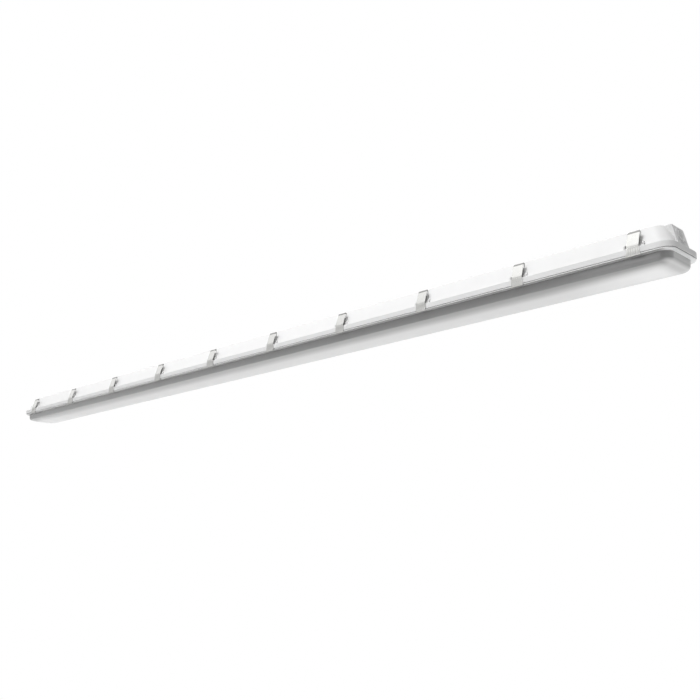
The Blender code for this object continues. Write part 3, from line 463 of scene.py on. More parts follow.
def noise(tree, place, size, detail):
    """Noise whose features have a size in metres."""
    return add(tree, "ShaderNodeTexNoise", {"Scale": 1 / size, "Detail": detail},
               {"Vector": place}).outputs["Fac"]


def mixed(tree, share, first, second, **settings):
    """A colour between two; each part is a hex code, a number or another node's output."""
    values, links = {}, {}
    for socket, source in ((0, share), (6, first), (7, second)):
        if isinstance(source, bpy.types.NodeSocket):
            links[socket] = source
        else:
            values[socket] = colour(source) if isinstance(source, str) else source
    return add(tree, "ShaderNodeMix", values, links, data_type="RGBA", **settings).outputs[2]


def grain_surface(tree, tone, fine, depth, rough, values):
    """Close a material: its tone, and a fine grain that is its relief and sets its roughness."""
    bump = add(tree, "ShaderNodeBump", {"Strength": 1.0, "Distance": depth}, {"Height": fine})
    shader = add(tree, "ShaderNodeBsdfPrincipled", values,
                 {"Base Color": tone, "Roughness": ramped(tree, fine, *NOISE_RANGE, *rough),
                  "Normal": bump.outputs["Normal"]})
    add(tree, "ShaderNodeOutputMaterial", links={"Surface": shader.outputs["BSDF"]})


def grained(name, light, dark, patch, grain, depth, rough, stretch=(1, 1, 1), painted_shade=None,
            **shader_values):
    """A material with cloudy tone in patches and a fine grain that also sets its roughness.

    Patch and grain are real sizes in metres, depth is the grain's height, rough
    is the range of roughness, and stretch lengthens the grain along an axis.
    The painted-shade argument is a direction, a reach along it and a tone: painted
    shade darkens the surface by the tone where its place, with X and Y counted
    from the middle and Z as a depth, lies past the reach.
    """
    material, tree, place = new_material(name)
    tone = mixed(tree, noise(tree, place, patch, 3.0), dark, light)
    if painted_shade:
        direction, reach, darker = painted_shade
        # Painted shade: the tone is darkened past the reach
        spread = add(tree, "ShaderNodeVectorMath", links={0: place}, operation="ABSOLUTE")
        along_it = add(tree, "ShaderNodeVectorMath", {1: direction},
                       {0: spread.outputs["Vector"]}, operation="DOT_PRODUCT").outputs["Value"]
        past = ramped(tree, along_it, reach - PAINTED_SHADE_BLEND, reach + PAINTED_SHADE_BLEND)
        tone = mixed(tree, past, tone, darker, blend_type="MULTIPLY")
    stretched = add(tree, "ShaderNodeMapping", {"Scale": tuple(1 / share for share in stretch)},
                    {"Vector": place}).outputs["Vector"]
    grain_surface(tree, tone, noise(tree, stretched, grain, 2.0), depth, rough, shader_values)
    return material


FINISHES = {}


def make_materials():
    """Every finish of the fixture, by the name of its slot in the record."""
    # Glass-filled polyester, compression moulded: a pale grey with a faint cloud of
    # fibre in it and a satin skin that softens the lamps into broad sheens.
    FINISHES["housing_grey"] = grained(
        "compression_moulded_polyester", "#E3E3E3", "#DDDDDD", 0.045, 0.0012, 0.000006,
        (0.36, 0.46))
    # Foamed-in-place polyurethane: dark, matt, with an open-cell skin.
    FINISHES["gasket_foam"] = grained(
        "foamed_polyurethane", "#47484B", "#313235", 0.006, 0.0008, 0.00012, (0.8, 0.95))
    # Frosted polycarbonate, opaque, with painted light and shade in its tones.
    FINISHES["frosted_lens"] = make_frosted_lens()
    # Stainless strip, rolled and then pressed: bright, with fine rolling lines along
    # the fixture that stretch its highlights, and darkened by painted shade along its curl.
    FINISHES["stainless_sheet"] = grained(
        "rolled_stainless_strip", "#BEBEBC", "#B5B5B3", 0.010, 0.0006, 0.000003,
        (0.26, 0.36), (25, 1, 1), ((0, 0, -1), -BAIL_TOP_DEPTH - CURL_PAINTED_SHADE_DEPTH, "#ACACAC"),
        Metallic=1.0)
    # Stainless wire, drawn: greyer than the sheet, with short dark drawing lines.
    FINISHES["stainless_wire"] = grained(
        "drawn_stainless_wire", "#B2B2B1", "#989898", 0.004, 0.0005, 0.000004,
        (0.22, 0.38), (6, 1, 1), Metallic=1.0)
    # Injection moulded ABS: a touch darker than the housing, finely sparked, with
    # painted shade in its slot.
    centre, _, outward = pad_frame()
    slot_mouth = centre @ outward + PLUG_CAP_HEIGHT - PLUG_DISH_DEPTH - SLOT_PAINTED_SHADE_DEPTH
    FINISHES["plug_plastic"] = grained(
        "injection_moulded_abs", "#DBDBDB", "#D4D4D4", 0.012, 0.0007, 0.00001, (0.42, 0.54),
        painted_shade=((-outward[0], 0, outward[2]), -slot_mouth, "#6A6A6A"))
    # Powder coated steel: white, with orange peel a few millimetres wide.
    FINISHES["tray_white"] = grained(
        "powder_coated_steel", "#F0F0EE", "#EAEAE8", 0.060, 0.0025, 0.00002, (0.30, 0.42))
    # Solder mask on glass epoxy: white, slightly warm, with the weave showing faintly.
    FINISHES["board_white"] = grained(
        "white_solder_mask", "#EDEEE9", "#E4E6E1", 0.020, 0.0009, 0.000008, (0.35, 0.50))
    # Anodised aluminium case: grey metal with a fine matt etch.
    FINISHES["driver_case"] = grained(
        "anodised_aluminium", "#CFD2D4", "#C2C5C8", 0.015, 0.0005, 0.000006, (0.32, 0.46),
        Metallic=1.0)
    # Polyamide terminal block: off-white, dry and slightly uneven.
    FINISHES["terminal_plastic"] = grained(
        "moulded_polyamide", "#E8E7E1", "#DEDDD6", 0.006, 0.0006, 0.00001, (0.45, 0.60))
    # Nylon buttons: waxy off-white.
    FINISHES["button_nylon"] = grained(
        "moulded_nylon", "#ECEBE4", "#E1E0D8", 0.008, 0.0006, 0.00001, (0.40, 0.52))


def make_frosted_lens():
    """Injection moulded polycarbonate, frosted in the mould.

    It is opaque, and its tones are painted light and shade that stand for the light
    inside: painted shade high on the wall, where a real wall with the dark housing
    behind it reads mid grey; painted light lower down, where light comes through
    the far side, and on the bottom, more so towards the ends; a painted glow low
    on the end walls; and a painted highlight on the flange, which backs on to the
    rim.  The frosted skin catches the pale room at a slant.
    """
    material, tree, place = new_material("frosted_polycarbonate")
    axes = add(tree, "ShaderNodeSeparateXYZ", links={"Vector": place}).outputs
    # Painted shade high on the wall and painted light on the bottom, by depth below the flange
    depth = ramped(tree, axes["Z"], -FLANGE_BOTTOM_DEPTH, -LENS_FOOT_DEPTH)
    tone = add(tree, "ShaderNodeValToRGB", links={"Fac": depth})
    ramp = tone.color_ramp.elements
    while len(ramp) < len(LENS_PAINTED_LIGHT_TONES):
        ramp.new(0.5)
    for element, (share, code) in zip(ramp, LENS_PAINTED_LIGHT_TONES):
        element.position, element.color = share, colour(code)
    along = add(tree, "ShaderNodeMath", links={0: axes["X"]}, operation="ABSOLUTE").outputs["Value"]
    # Painted light: the bottom pales over the last 0.3 m, and a painted glow makes the ends palest
    # low down
    far_painted_light = ramped(tree, along, *LENS_PAINTED_LIGHT_REACH, 0.0, LENS_PAINTED_LIGHT_MOST,
                     interpolation_type="SMOOTHSTEP")
    paler = joined(tree, "MULTIPLY", far_painted_light, ramped(tree, depth, *LENS_PAINTED_LIGHT_SHARES))
    bottom = mixed(tree, paler, tone.outputs["Color"], "#F4F4F4")
    # Painted glow low on the end walls
    end_painted_light = ramped(tree, along, *LENS_END_PAINTED_LIGHT_REACH, interpolation_type="SMOOTHSTEP")
    end_glow_low = ramped(tree, axes["Z"], *LENS_END_GLOW_HEIGHTS)
    wall = mixed(tree, joined(tree, "MULTIPLY", end_painted_light, end_glow_low), bottom, "#FAFAFA")
    # Painted highlight on the flange: all over it at the ends, and on its edge alone along the
    # sides
    end_flange_highlight = joined(tree, "MULTIPLY", end_painted_light, ramped(tree, axes["Z"], *FLANGE_HIGHLIGHT_FOOT_HEIGHTS))
    flange = joined(tree, "MAXIMUM", ramped(tree, axes["Z"], *FLANGE_HIGHLIGHT_EDGE_HEIGHTS), end_flange_highlight)
    body = mixed(tree, flange, wall, "#E9EAEA")
    streak = ramped(tree, noise(tree, place, 0.060, 3.0), *NOISE_RANGE, 0.96, 1.0)
    milky = mixed(tree, 1.0, body, streak, blend_type="MULTIPLY")
    grain_surface(tree, milky, noise(tree, place, 0.0010, 2.0), 0.000008, (0.30, 0.40),
                  {"IOR": 1.59, "Coat Weight": 1.0, "Coat Roughness": 0.15, "Sheen Weight": 1.0,
                   "Sheen Roughness": 0.5})
    return material


# -- housing

def wall_inset(depth):
    """Inset of the housing's outer wall at a depth below the back."""
    return WALL_TOP_INSET - WALL_LEAN * depth


def build_housing_shell():
    """The trough: its profile runs from the back down outside, through the groove and up inside."""
    inner_radius = RIM_CORNER_RADIUS - GROOVE_INSET
    groove_roof = RIM_BOTTOM_DEPTH - GROOVE_DEPTH
    groove_far = GROOVE_INSET + GROOVE_WIDTH
    ledge = RIM_BOTTOM_DEPTH - RIM_INNER_RISE
    inner_foot = wall_inset(RIM_TOP_DEPTH) + WALL_THICKNESS
    inner_top = wall_inset(BACK_THICKNESS) + WALL_THICKNESS
    flat = 0.006
    corners = [
        level(WALL_TOP_INSET + flat, 0, WALL_CORNER_RADIUS),
        level(WALL_TOP_INSET, 0, WALL_CORNER_RADIUS),
        level(WALL_FOOT_INSET, RIM_TOP_DEPTH, WALL_CORNER_RADIUS),
        level(0, RIM_TOP_DEPTH, RIM_CORNER_RADIUS),
        level(0, RIM_BOTTOM_DEPTH, RIM_CORNER_RADIUS),
        level(GROOVE_INSET, RIM_BOTTOM_DEPTH, inner_radius),
        level(GROOVE_INSET, groove_roof, inner_radius),
        level(groove_far, groove_roof, inner_radius),
        level(groove_far, RIM_BOTTOM_DEPTH, inner_radius),
        level(RIM_INNER_INSET, RIM_BOTTOM_DEPTH, inner_radius),
        level(RIM_INNER_INSET, ledge, inner_radius),
        level(inner_foot, RIM_TOP_DEPTH, inner_radius),
        level(inner_top, BACK_THICKNESS, inner_radius),
        level(inner_top + flat, BACK_THICKNESS, inner_radius),
    ]
    eases = [BACK_EDGE_EASE, WALL_FOOT_EASE, RIM_EDGE_EASE, RIM_FOOT_EASE, *[SMALL_EASE] * 7,
             WALL_FOOT_EASE]
    rings = carry_round(ease(corners, eases))
    add_piece("housing_shell", rings.reshape(-1, 3), [capped(rings)], "enclosure",
              ["housing"], "housing_grey")


def build_end_pads():
    """Flat pads: a rounded rectangle whose outer edge follows the pad's lean as it goes down."""
    centre_x, centre_y, facing_x, facing_y = plan_places()
    top = np.linspace(0, 1, EASE_STEPS + 1) * math.pi / 2
    depth = np.concatenate(((0, 0), PAD_TOP_EASE * (1 - np.cos(top)),
                            (PAD_TOP_EASE * 2, RIM_TOP_DEPTH / 2, RIM_TOP_DEPTH + PAD_SINK)))
    shrink = np.concatenate((PAD_TOP_EASE * np.array((3, 1.4)), PAD_TOP_EASE * (1 - np.sin(top)),
                             (0, 0, 0)))
    outer = (HALF_LENGTH - PAD_TOP_INSET + PAD_LEAN * depth - shrink)[:, None]
    inner = HALF_LENGTH - PAD_ROOT_INSET
    half_y = (PAD_WIDTH / 2 - shrink)[:, None]
    radius = PAD_CORNER_RADIUS
    x = (inner + outer) / 2 + ((outer - inner) / 2 - radius) * centre_x + radius * facing_x
    y = (half_y - radius) * centre_y + radius * facing_y
    rings = np.stack((x, y, 0 * x - depth[:, None]), axis=-1)
    add_pair("end_pad", rings.reshape(-1, 3), [capped(rings)], "housing", "housing_grey")


def latch_places():
    """Each latch: its number, its place along the fixture and which long side it is on."""
    return [(side_index * LATCH_COUNT + index + 1, LATCH_PITCH * (index - (LATCH_COUNT - 1) / 2),
             side)
            for side_index, side in enumerate((-1, 1)) for index in range(LATCH_COUNT)]


def build_ears():
    """Ears: the outline round the pivot, carried through from the far face to the blind bore.

    A station is a place along the pin and a share of the outline, or a round of
    the bore's radius, so every ring turns about the pivot.
    """
    pivot_y, pivot_z = HALF_WIDTH - BAIL_PIVOT_INSET, -BAIL_PIVOT_DEPTH
    top = EAR_NOSE_RADIUS
    foot = -RIM_TOP_DEPTH - EAR_ROOT_DEPTH / 2 - pivot_z
    nose = np.linspace(math.pi / 2, 0, BEND_STEPS)
    root_top = HALF_WIDTH - wall_inset(BAIL_PIVOT_DEPTH - top) - EAR_ROOT_DEPTH - pivot_y
    root_foot = HALF_WIDTH - WALL_FOOT_INSET - EAR_ROOT_DEPTH - pivot_y
    outline = np.array([(root_top, top), *zip(top * np.cos(nose), top * np.sin(nose)),
                        (top, foot / 2), (top, foot), (root_foot, foot),
                        (root_top / 2 + root_foot / 2, (top + foot) / 2)])
    angle = np.arctan2(outline[:, 1], outline[:, 0])
    bore = (WIRE_RADIUS + WIRE_GAP) * np.stack((np.cos(angle), np.sin(angle)), axis=-1)
    far, near, floor = EAR_THICKNESS, 0.0, EAR_THICKNESS - EAR_FLOOR
    rest = EAR_EDGE_EASE
    slight = 1 - rest / np.linalg.norm(outline, axis=1)[:, None]
    rings = [(far, outline * slight), (far - rest * 0.3, outline * (slight + 2) / 3),
             (far - rest, outline), (near + rest, outline),
             (near + rest * 0.3, outline * (slight + 2) / 3), (near, outline * slight),
             (near, bore), (floor, bore)]
    rings = np.array([np.column_stack((np.full(len(ring), x), ring)) for x, ring in rings])
    points = np.concatenate((rings.reshape(-1, 3), ((far, 0, 0), (floor, 0, 0))))
    copies = []
    for _, x, side in latch_places():
        for hand in (-1, 1):
            place = (x + hand * EAR_DISTANCE, side * pivot_y, pivot_z)
            copies.append((points * (hand, side, 1) + place,
                           [faces[:, ::-1] if hand * side > 0 else faces
                            for faces in poled(rings)]))
    add_piece("housing_ears", *gathered(copies), "enclosure", ["housing"], "housing_grey")


def build_pillars():
    """Pillars under the back, each turned with a blind bore up from its foot."""
    foot = -PILLAR_FOOT_DEPTH
    profile = [(PILLAR_RADIUS, -BACK_THICKNESS / 2), (PILLAR_RADIUS, foot + SMALL_EASE),
               (PILLAR_RADIUS - SMALL_EASE, foot), (PILLAR_BORE_RADIUS + SMALL_EASE, foot),
               (PILLAR_BORE_RADIUS, foot + SMALL_EASE),
               (PILLAR_BORE_RADIUS, foot + PILLAR_BORE_LENGTH)]
    rings = turn_rings(profile, round_angles(PILLAR_SIDES))
    points = np.concatenate((rings.reshape(-1, 3),
                             [(0, 0, profile[0][1]), (0, 0, profile[-1][1])]))
    places = PILLAR_PITCH * (np.arange(PILLAR_COUNT) - (PILLAR_COUNT - 1) / 2)
    add_piece("housing_pillars", *gathered([(points + (x, 0, 0), poled(rings)) for x in places]),
              "enclosure", ["housing"], "housing_grey")


# -- plug, gasket, lens

def pad_frame():
    """Middle of the near pad's entry, and the ways up the pad and straight out of it."""
    tilt = math.atan(PAD_LEAN)
    inset = PAD_TOP_INSET - PAD_LEAN * ENTRY_DEPTH
    return (np.array((HALF_LENGTH - inset, 0, -ENTRY_DEPTH)),
            np.array((-math.sin(tilt), 0, math.cos(tilt))),
            np.array((math.cos(tilt), 0, math.sin(tilt))))


def stand_on_pad(points):
    """Points whose own X, Y and Z lie along the pad's width, up the pad and out of it."""
    centre, upward, outward = pad_frame()
    return centre + points[:, :1] * (0, 1, 0) + points[:, 1:2] * upward + points[:, 2:] * outward


def build_pad_rings():
    """A fine ring moulded on each pad: half an ellipse, its foot sunk in the pad, turned about
    the entry's axis."""
    sweep = np.linspace(math.pi, 0, 9)
    radius = PAD_RING_RADIUS + PAD_RING_WIDTH / 2 * np.cos(sweep)
    height = PAD_RING_HEIGHT * np.sin(sweep)
    profile = [(radius[0], -PAD_SINK), *zip(radius, height), (radius[-1], -PAD_SINK)]
    rings = turn_rings(profile, round_angles(RING_SIDES))
    add_pair("pad_ring", stand_on_pad(rings.reshape(-1, 3)), [looped(rings)], "housing",
             "housing_grey")


def build_plugs():
    """Blanking plugs: a square patch with a cross slot sunk in it, then rounds out over the
    dish's floor, up its wall, over the ring to the cap's edge and down the stem.

    The patch's grid lines lie on the slot's edges, and its border runs on into
    the first round at the same angles.
    """
    half_width, half_length = PLUG_SLOT_WIDTH / 2, PLUG_SLOT_LENGTH / 2
    border = half_length * 1.25
    wall = 0.00008
    arm = np.linspace(half_width + wall, half_length - wall, 6)[1:-1]
    lines = np.array([half_width, half_width + wall, *arm, half_length - wall, half_length, border])
    lines = np.concatenate((-lines[::-1], [0], lines))
    x, y = np.meshgrid(lines, lines, indexing="ij")
    across = np.maximum(np.abs(x) - half_width, np.abs(y) + wall - half_length)
    along = np.maximum(np.abs(y) - half_width, np.abs(x) + wall - half_length)
    sunk = np.minimum(across, along) < wall / 2
    floor = PLUG_CAP_HEIGHT - PLUG_DISH_DEPTH
    patch = np.stack((x, y, floor - PLUG_SLOT_DEPTH * sunk), axis=-1)
    index, quads = grid(len(lines), len(lines))
    edge = np.concatenate((index[-1, :-1], index[:0:-1, -1], index[0, :0:-1], index[:-1, 0]))
    rim = patch.reshape(-1, 3)[edge]
    angle = np.arctan2(rim[:, 1], rim[:, 0])
    turn = np.linspace(0, math.pi / 2, EASE_STEPS + 1)
    cap = PLUG_CAP_RADIUS - PLUG_CAP_EASE
    dish, small = PLUG_DISH_RADIUS, PLUG_DISH_EASE
    profile = [(dish * 0.8, floor), (dish - small * 1.5, floor)]
    profile += list(zip(dish - small + small * np.sin(turn), floor + small * (1 - np.cos(turn))))
    profile += list(zip(dish + small * (1 - np.cos(turn)),
                        PLUG_CAP_HEIGHT - small + small * np.sin(turn)))
    profile += [(dish + small * 1.5, PLUG_CAP_HEIGHT), (cap - small, PLUG_CAP_HEIGHT)]
    profile += list(zip(cap + PLUG_CAP_EASE * np.sin(turn),
                        PLUG_CAP_HEIGHT - PLUG_CAP_EASE * (1 - np.cos(turn))))
    profile += [(PLUG_CAP_RADIUS, PLUG_SEAT_GAP), (PLUG_STEM_RADIUS, PLUG_SEAT_GAP),
                (PLUG_STEM_RADIUS, SMALL_EASE - PLUG_STEM_LENGTH),
                (PLUG_STEM_RADIUS - SMALL_EASE, -PLUG_STEM_LENGTH)]
    rings = turn_rings(profile, angle)
    count, start = len(edge), index.size
    points = np.concatenate((patch.reshape(-1, 3), rings.reshape(-1, 3),
                             [(0, 0, -PLUG_STEM_LENGTH)]))
    after = np.roll(np.arange(count), -1)
    joining = np.stack((edge, start + np.arange(count), start + after, edge[after]), axis=-1)
    faces = [np.concatenate((quads, joining, skin(rings, start))),
             fan(count, start + (len(rings) - 1) * count, len(points) - 1, False)]
    add_pair("blanking_plug", stand_on_pad(points), faces, "entry_plug_{}", "plug_plastic")


def build_gasket():
    """The gasket: a bead with a crowned face, carried round the groove, and a thin lip.

    The lip hangs from the bead along the groove's outer wall and turns out into
    the gap between rim and flange, where it shows as a dark line, furthest out at
    the ends.
    """
    near = GROOVE_INSET + GASKET_SIDE_GAP
    far = GROOVE_INSET + GROOVE_WIDTH - GASKET_SIDE_GAP
    roof = RIM_BOTTOM_DEPTH - GROOVE_DEPTH + GASKET_SIDE_GAP
    radius = RIM_CORNER_RADIUS - GROOVE_INSET
    lip_radius = RIM_CORNER_RADIUS - GASKET_LIP_INSET
    lip_top = RIM_BOTTOM_DEPTH + GASKET_LIP_GAP
    lip_foot = FLANGE_TOP_DEPTH - GASKET_LIP_GAP
    root = near + GASKET_SKIRT
    round_off = SMALL_EASE / 2
    share = np.linspace(0, 1, 9)
    foot = roof + GASKET_THICKNESS - GASKET_CROWN
    crown = [level(root + (far - root) * s, foot + GASKET_CROWN * (1 - (2 * s - 1) ** 2), radius)
             for s in share]
    rings = carry_round([
        level(near, roof, radius), level(near, lip_top, radius),
        level(GASKET_LIP_INSET + round_off, lip_top, lip_radius, GASKET_LIP_END_INSET + round_off),
        level(GASKET_LIP_INSET, (lip_top + lip_foot) / 2, lip_radius, GASKET_LIP_END_INSET),
        level(GASKET_LIP_INSET + round_off, lip_foot, lip_radius,
              GASKET_LIP_END_INSET + round_off),
        level(root, lip_foot, radius), *crown, level(far, roof, radius)])
    add_piece("gasket_bead", rings.reshape(-1, 3), [looped(rings)], "enclosure", ["gasket"],
              "gasket_foam")


def lens_edge(offset):
    """Stations of the lens from where its end starts to turn, down to the bow's middle.

    The ends turn in on an arc of the end round and the sides on their own small
    one, both to the slope where the bow starts.  The bow is a parabola that
    flattens out at its reach.  The inside, at the offset, is the outside moved in
    by it and drawn up by it as the turn goes on.
    """
    foot = FLANGE_BOTTOM_DEPTH + LENS_WALL_HEIGHT
    sweep = math.pi / 2 - LENS_EDGE_ANGLE
    lowest = foot + LENS_SIDE_ROUND * math.sin(sweep)
    start = lowest - LENS_END_ROUND * math.sin(sweep)
    turn = np.linspace(0, sweep, ROUND_STEPS + 1)
    depth = np.concatenate((np.linspace(start, foot, ROUND_STEPS + 1)[:-1],
                            foot + LENS_SIDE_ROUND * np.sin(turn)))
    side_turn = np.arcsin(np.clip((depth - foot) / LENS_SIDE_ROUND, 0, 1))
    end_turn = np.arcsin(np.clip((depth - start) / LENS_END_ROUND, 0, 1))
    draft = LENS_WALL_DRAFT * np.clip((depth - FLANGE_BOTTOM_DEPTH) / LENS_WALL_HEIGHT, 0, 1)
    radius = LENS_CORNER_RADIUS - offset
    edge = np.column_stack((
        LENS_WALL_INSET + draft + LENS_SIDE_ROUND * (1 - np.cos(side_turn)) + offset,
        LENS_END_INSET + draft + LENS_END_ROUND * (1 - np.cos(end_turn)) + offset,
        depth - offset * (depth - start) / (lowest - start), np.full_like(depth, radius)))
    share = np.linspace(0, 1, BOW_STEPS + 1)[1:]
    bow = edge[-1] + np.column_stack((
        LENS_BOW_REACH * share, LENS_BOW_REACH * share,
        LENS_BOW_DEPTH * (1 - (1 - share) ** 2),
        (LENS_BOW_CORNER_RADIUS - radius) * share))
    return np.concatenate((edge, bow))


def build_lens():
    """The lens: its profile runs from the bow's middle out, up the wall, round flange and tongue
    and back down inside."""
    groove_middle = GROOVE_INSET + GROOVE_WIDTH / 2
    tongue_near = groove_middle - TONGUE_WIDTH / 2
    tongue_far = groove_middle + TONGUE_WIDTH / 2
    tongue_top = RIM_BOTTOM_DEPTH - GROOVE_DEPTH + GASKET_THICKNESS + 2 * GASKET_SIDE_GAP
    flange_radius = RIM_CORNER_RADIUS - FLANGE_INSET
    tongue_radius = RIM_CORNER_RADIUS - GROOVE_INSET
    inner_radius = LENS_CORNER_RADIUS - LENS_THICKNESS
    inner_side = LENS_WALL_INSET + LENS_THICKNESS
    inner_end = LENS_END_INSET + LENS_THICKNESS
    outside, inside = lens_edge(0)[::-1], lens_edge(LENS_THICKNESS)
    corners = [
        tuple(outside[-1] - (0, 0, LENS_WALL_LEG, 0)),
        level(LENS_WALL_INSET, FLANGE_BOTTOM_DEPTH, LENS_CORNER_RADIUS, LENS_END_INSET),
        level(FLANGE_INSET, FLANGE_BOTTOM_DEPTH, flange_radius),
        level(FLANGE_INSET, FLANGE_TOP_DEPTH, flange_radius),
        level(tongue_near, FLANGE_TOP_DEPTH, tongue_radius),
        level(tongue_near, tongue_top, tongue_radius),
        level(tongue_far, tongue_top, tongue_radius),
        level(tongue_far, FLANGE_TOP_DEPTH, tongue_radius),
        level(inner_side, FLANGE_TOP_DEPTH, inner_radius, inner_end),
        tuple(inside[0] - (0, 0, LENS_WALL_LEG, 0)),
    ]
    eases = [LENS_FLANGE_ROOT, FLANGE_EASE, FLANGE_EASE, *[SMALL_EASE] * 5]
    rings = carry_round(np.concatenate((outside, ease(corners, eases), inside)))
    # The profile starts at the bottom, so its skin is turned to face outwards
    add_piece("lens_shell", rings.reshape(-1, 3), [capped(rings)[:, ::-1]], "enclosure",
              ["lens"], "frosted_lens")


# -- latches

def bend(corners, reach):
    """Path through corner points with a quadratic curve at each inner one."""
    corners = np.array(corners, float)
    path = [corners[:1]]
    for before, corner, after in zip(corners, corners[1:], corners[2:]):
        path.append(quadratic(corner + unit(before - corner) * reach, corner,
                              corner + unit(after - corner) * reach, BEND_STEPS))
    path.append(corners[-1:])
    return np.concatenate(path)


def add_to_latches(part, points, face_sets, inset, depth, slot):
    """Add a part to every latch, turned to its side, with its axis at the inset and depth."""
    for number, x, side in latch_places():
        body = f"{part}_{number:02d}"
        axis = (x, side * (HALF_WIDTH - inset), -depth)
        add_piece(f"latch_{body}", points * (-side, -side, 1) + axis, face_sets, body, [body],
                  slot)


def build_bails():
    """Bails: a round section carried along the bent wire, which lies in one plane.

    The section turns in the plane of the path's normal and the plane's own, and
    each end draws in to a pole.
    """
    out = BAIL_PIVOT_INSET - BAIL_TOP_INSET
    leg = BAIL_WIDTH / 2 - WIRE_RADIUS
    half = [(PIN_REACH, 0, 0), (leg + BAIL_FOOT_SPREAD, 0, 0),
            (leg, -BAIL_JOG_SHARE * out, BAIL_JOG_SHARE * BAIL_HEIGHT), (leg, -out, BAIL_HEIGHT)]
    path = bend(half + [(-x, y, z) for x, y, z in reversed(half)], BAIL_BEND_REACH)
    plane = np.array((0, BAIL_HEIGHT, out)) / math.hypot(BAIL_HEIGHT, out)
    ahead = unit(np.gradient(path, axis=0))
    across = np.cross(plane, ahead)
    turn = round_angles(WIRE_SIDES)[:, None]
    section = (np.cos(turn) * across[:, None] + np.sin(turn) * plane) * WIRE_RADIUS
    tip, narrow = WIRE_RADIUS * BAIL_TIP_SHARE, 1 - BAIL_TIP_SHARE
    rings = np.concatenate(((path[0] + section[0] * narrow)[None],
                            (path[0] + ahead[0] * tip + section[0])[None],
                            (path[:, None] + section)[1:-1],
                            (path[-1] - ahead[-1] * tip + section[-1])[None],
                            (path[-1] + section[-1] * narrow)[None]))
    points = np.concatenate((rings.reshape(-1, 3), path[[0, -1]]))
    # The rings run the way that they face, so their faces are turned to look outwards
    add_to_latches("bail", points, poled(rings, False), BAIL_PIVOT_INSET, BAIL_PIVOT_DEPTH,
                   "stainless_wire")


def clip_line():
    """Middle line of the clip's sheet about its curl, as rows of (out, up, width).

    It runs from the curl's tail over the crossbar, down the leaning plate, round
    the knee, down the ribbed grip and under the lens flange to the lip's edge.
    """
    curl = WIRE_RADIUS + WIRE_GAP + CLIP_THICKNESS / 2
    grip_out = BAIL_TOP_INSET + CLIP_FACE_GAP + CLIP_THICKNESS / 2
    knee_up = BAIL_TOP_DEPTH - RIM_TOP_DEPTH + CLIP_KNEE_RISE
    lip_up = BAIL_TOP_DEPTH - FLANGE_BOTTOM_DEPTH - CLIP_LIP_GAP - CLIP_THICKNESS / 2
    lip_end = BAIL_TOP_INSET - FLANGE_INSET - CLIP_LIP_REACH
    tangent = math.atan2(knee_up, grip_out) + math.acos(curl / math.hypot(grip_out, knee_up))
    turn = tangent + CLIP_CURL_ANGLE * (1 - np.linspace(0, 1, CURL_STEPS))
    roll = np.column_stack((curl * np.cos(turn), curl * np.sin(turn),
                            np.full_like(turn, CLIP_CURL_WIDTH)))
    knee = np.array((grip_out, knee_up))
    lean = unit(knee - roll[-1, :2])
    over = knee - lean * CLIP_KNEE_ROUND
    under = knee - (0, CLIP_KNEE_ROUND)
    widening = np.linspace(1 / SHOULDER_STEPS, 1, SHOULDER_STEPS)
    shoulder = roll[-1, :2] + lean * CLIP_KNEE_ROUND * widening[:, None]
    plate = np.linspace(shoulder[-1], over, 8)[1:-1]
    bent = quadratic(over, knee, under, BEND_STEPS)
    grip_foot = np.array((grip_out, lip_up + CLIP_LIP_ROUND))
    length = np.linalg.norm(grip_foot - under)
    ends = np.array((0.06, 0.5, 0.75, 1.0)) * RIB_MARGIN / length
    steps = np.concatenate((ends, np.linspace(ends[-1], 1 - ends[-1], 7)[1:-1], 1 - ends[::-1]))
    grip = under + (grip_foot - under) * steps[:, None]
    curve = np.linspace(0, math.pi / 2, BEND_STEPS)
    lip = np.column_stack((grip_out - CLIP_LIP_ROUND * (1 - np.cos(curve)),
                           lip_up + CLIP_LIP_ROUND * (1 - np.sin(curve))))
    tongue = np.linspace((grip_out - CLIP_LIP_ROUND, lip_up), (lip_end, lip_up),
                         TONGUE_STEPS)[1:]
    line = np.concatenate((shoulder, plate, bent, grip, lip, tongue))
    widths = np.concatenate((
        CLIP_CURL_WIDTH + (CLIP_TOP_WIDTH - CLIP_CURL_WIDTH) * widening,
        np.full(len(plate) + len(bent), CLIP_TOP_WIDTH),
        CLIP_TOP_WIDTH + (CLIP_FOOT_WIDTH - CLIP_TOP_WIDTH) * steps,
        np.full(len(lip), CLIP_FOOT_WIDTH),
        CLIP_FOOT_WIDTH
        + (CLIP_TOP_WIDTH - CLIP_FOOT_WIDTH) * np.linspace(0, 1, TONGUE_STEPS)[1:]))
    rise = np.zeros(len(line))
    first = len(shoulder) + len(plate) + len(bent)
    to_end = np.minimum(steps, 1 - steps) * length / RIB_MARGIN
    rise[first:first + len(steps)] = smooth(np.clip(to_end, 0, 1))
    line = np.column_stack((line, widths))
    return np.concatenate((roll, line)), np.concatenate((np.zeros(len(roll)), rise))


def smooth(share):
    """Slow start and slow end between 0 and 1."""
    return share * share * (3 - 2 * share)


def rib_lines():
    """Shares across the grip, from -1 to 1, and each one's share of the ribs' height."""
    pitch = 2 / (RIB_COUNT + RIB_SHARE)
    middles = pitch * (np.arange(RIB_COUNT) - (RIB_COUNT - 1) / 2)
    foot, top = pitch * RIB_SHARE / 2, pitch * RIB_SHARE / 2 * RIB_TOP_SHARE
    flank = np.linspace(0, 1, 5)
    half = np.column_stack((foot + (top - foot) * flank, smooth(flank)))
    rib = np.concatenate((half * (-1, 1), [(0, 1)], half[::-1]))
    lines = np.concatenate([rib + (middle, 0) for middle in middles])
    edges = np.array([(-1, 0), (-0.985, 0)])
    return np.concatenate((edges, lines, edges[::-1] * (-1, 1)))


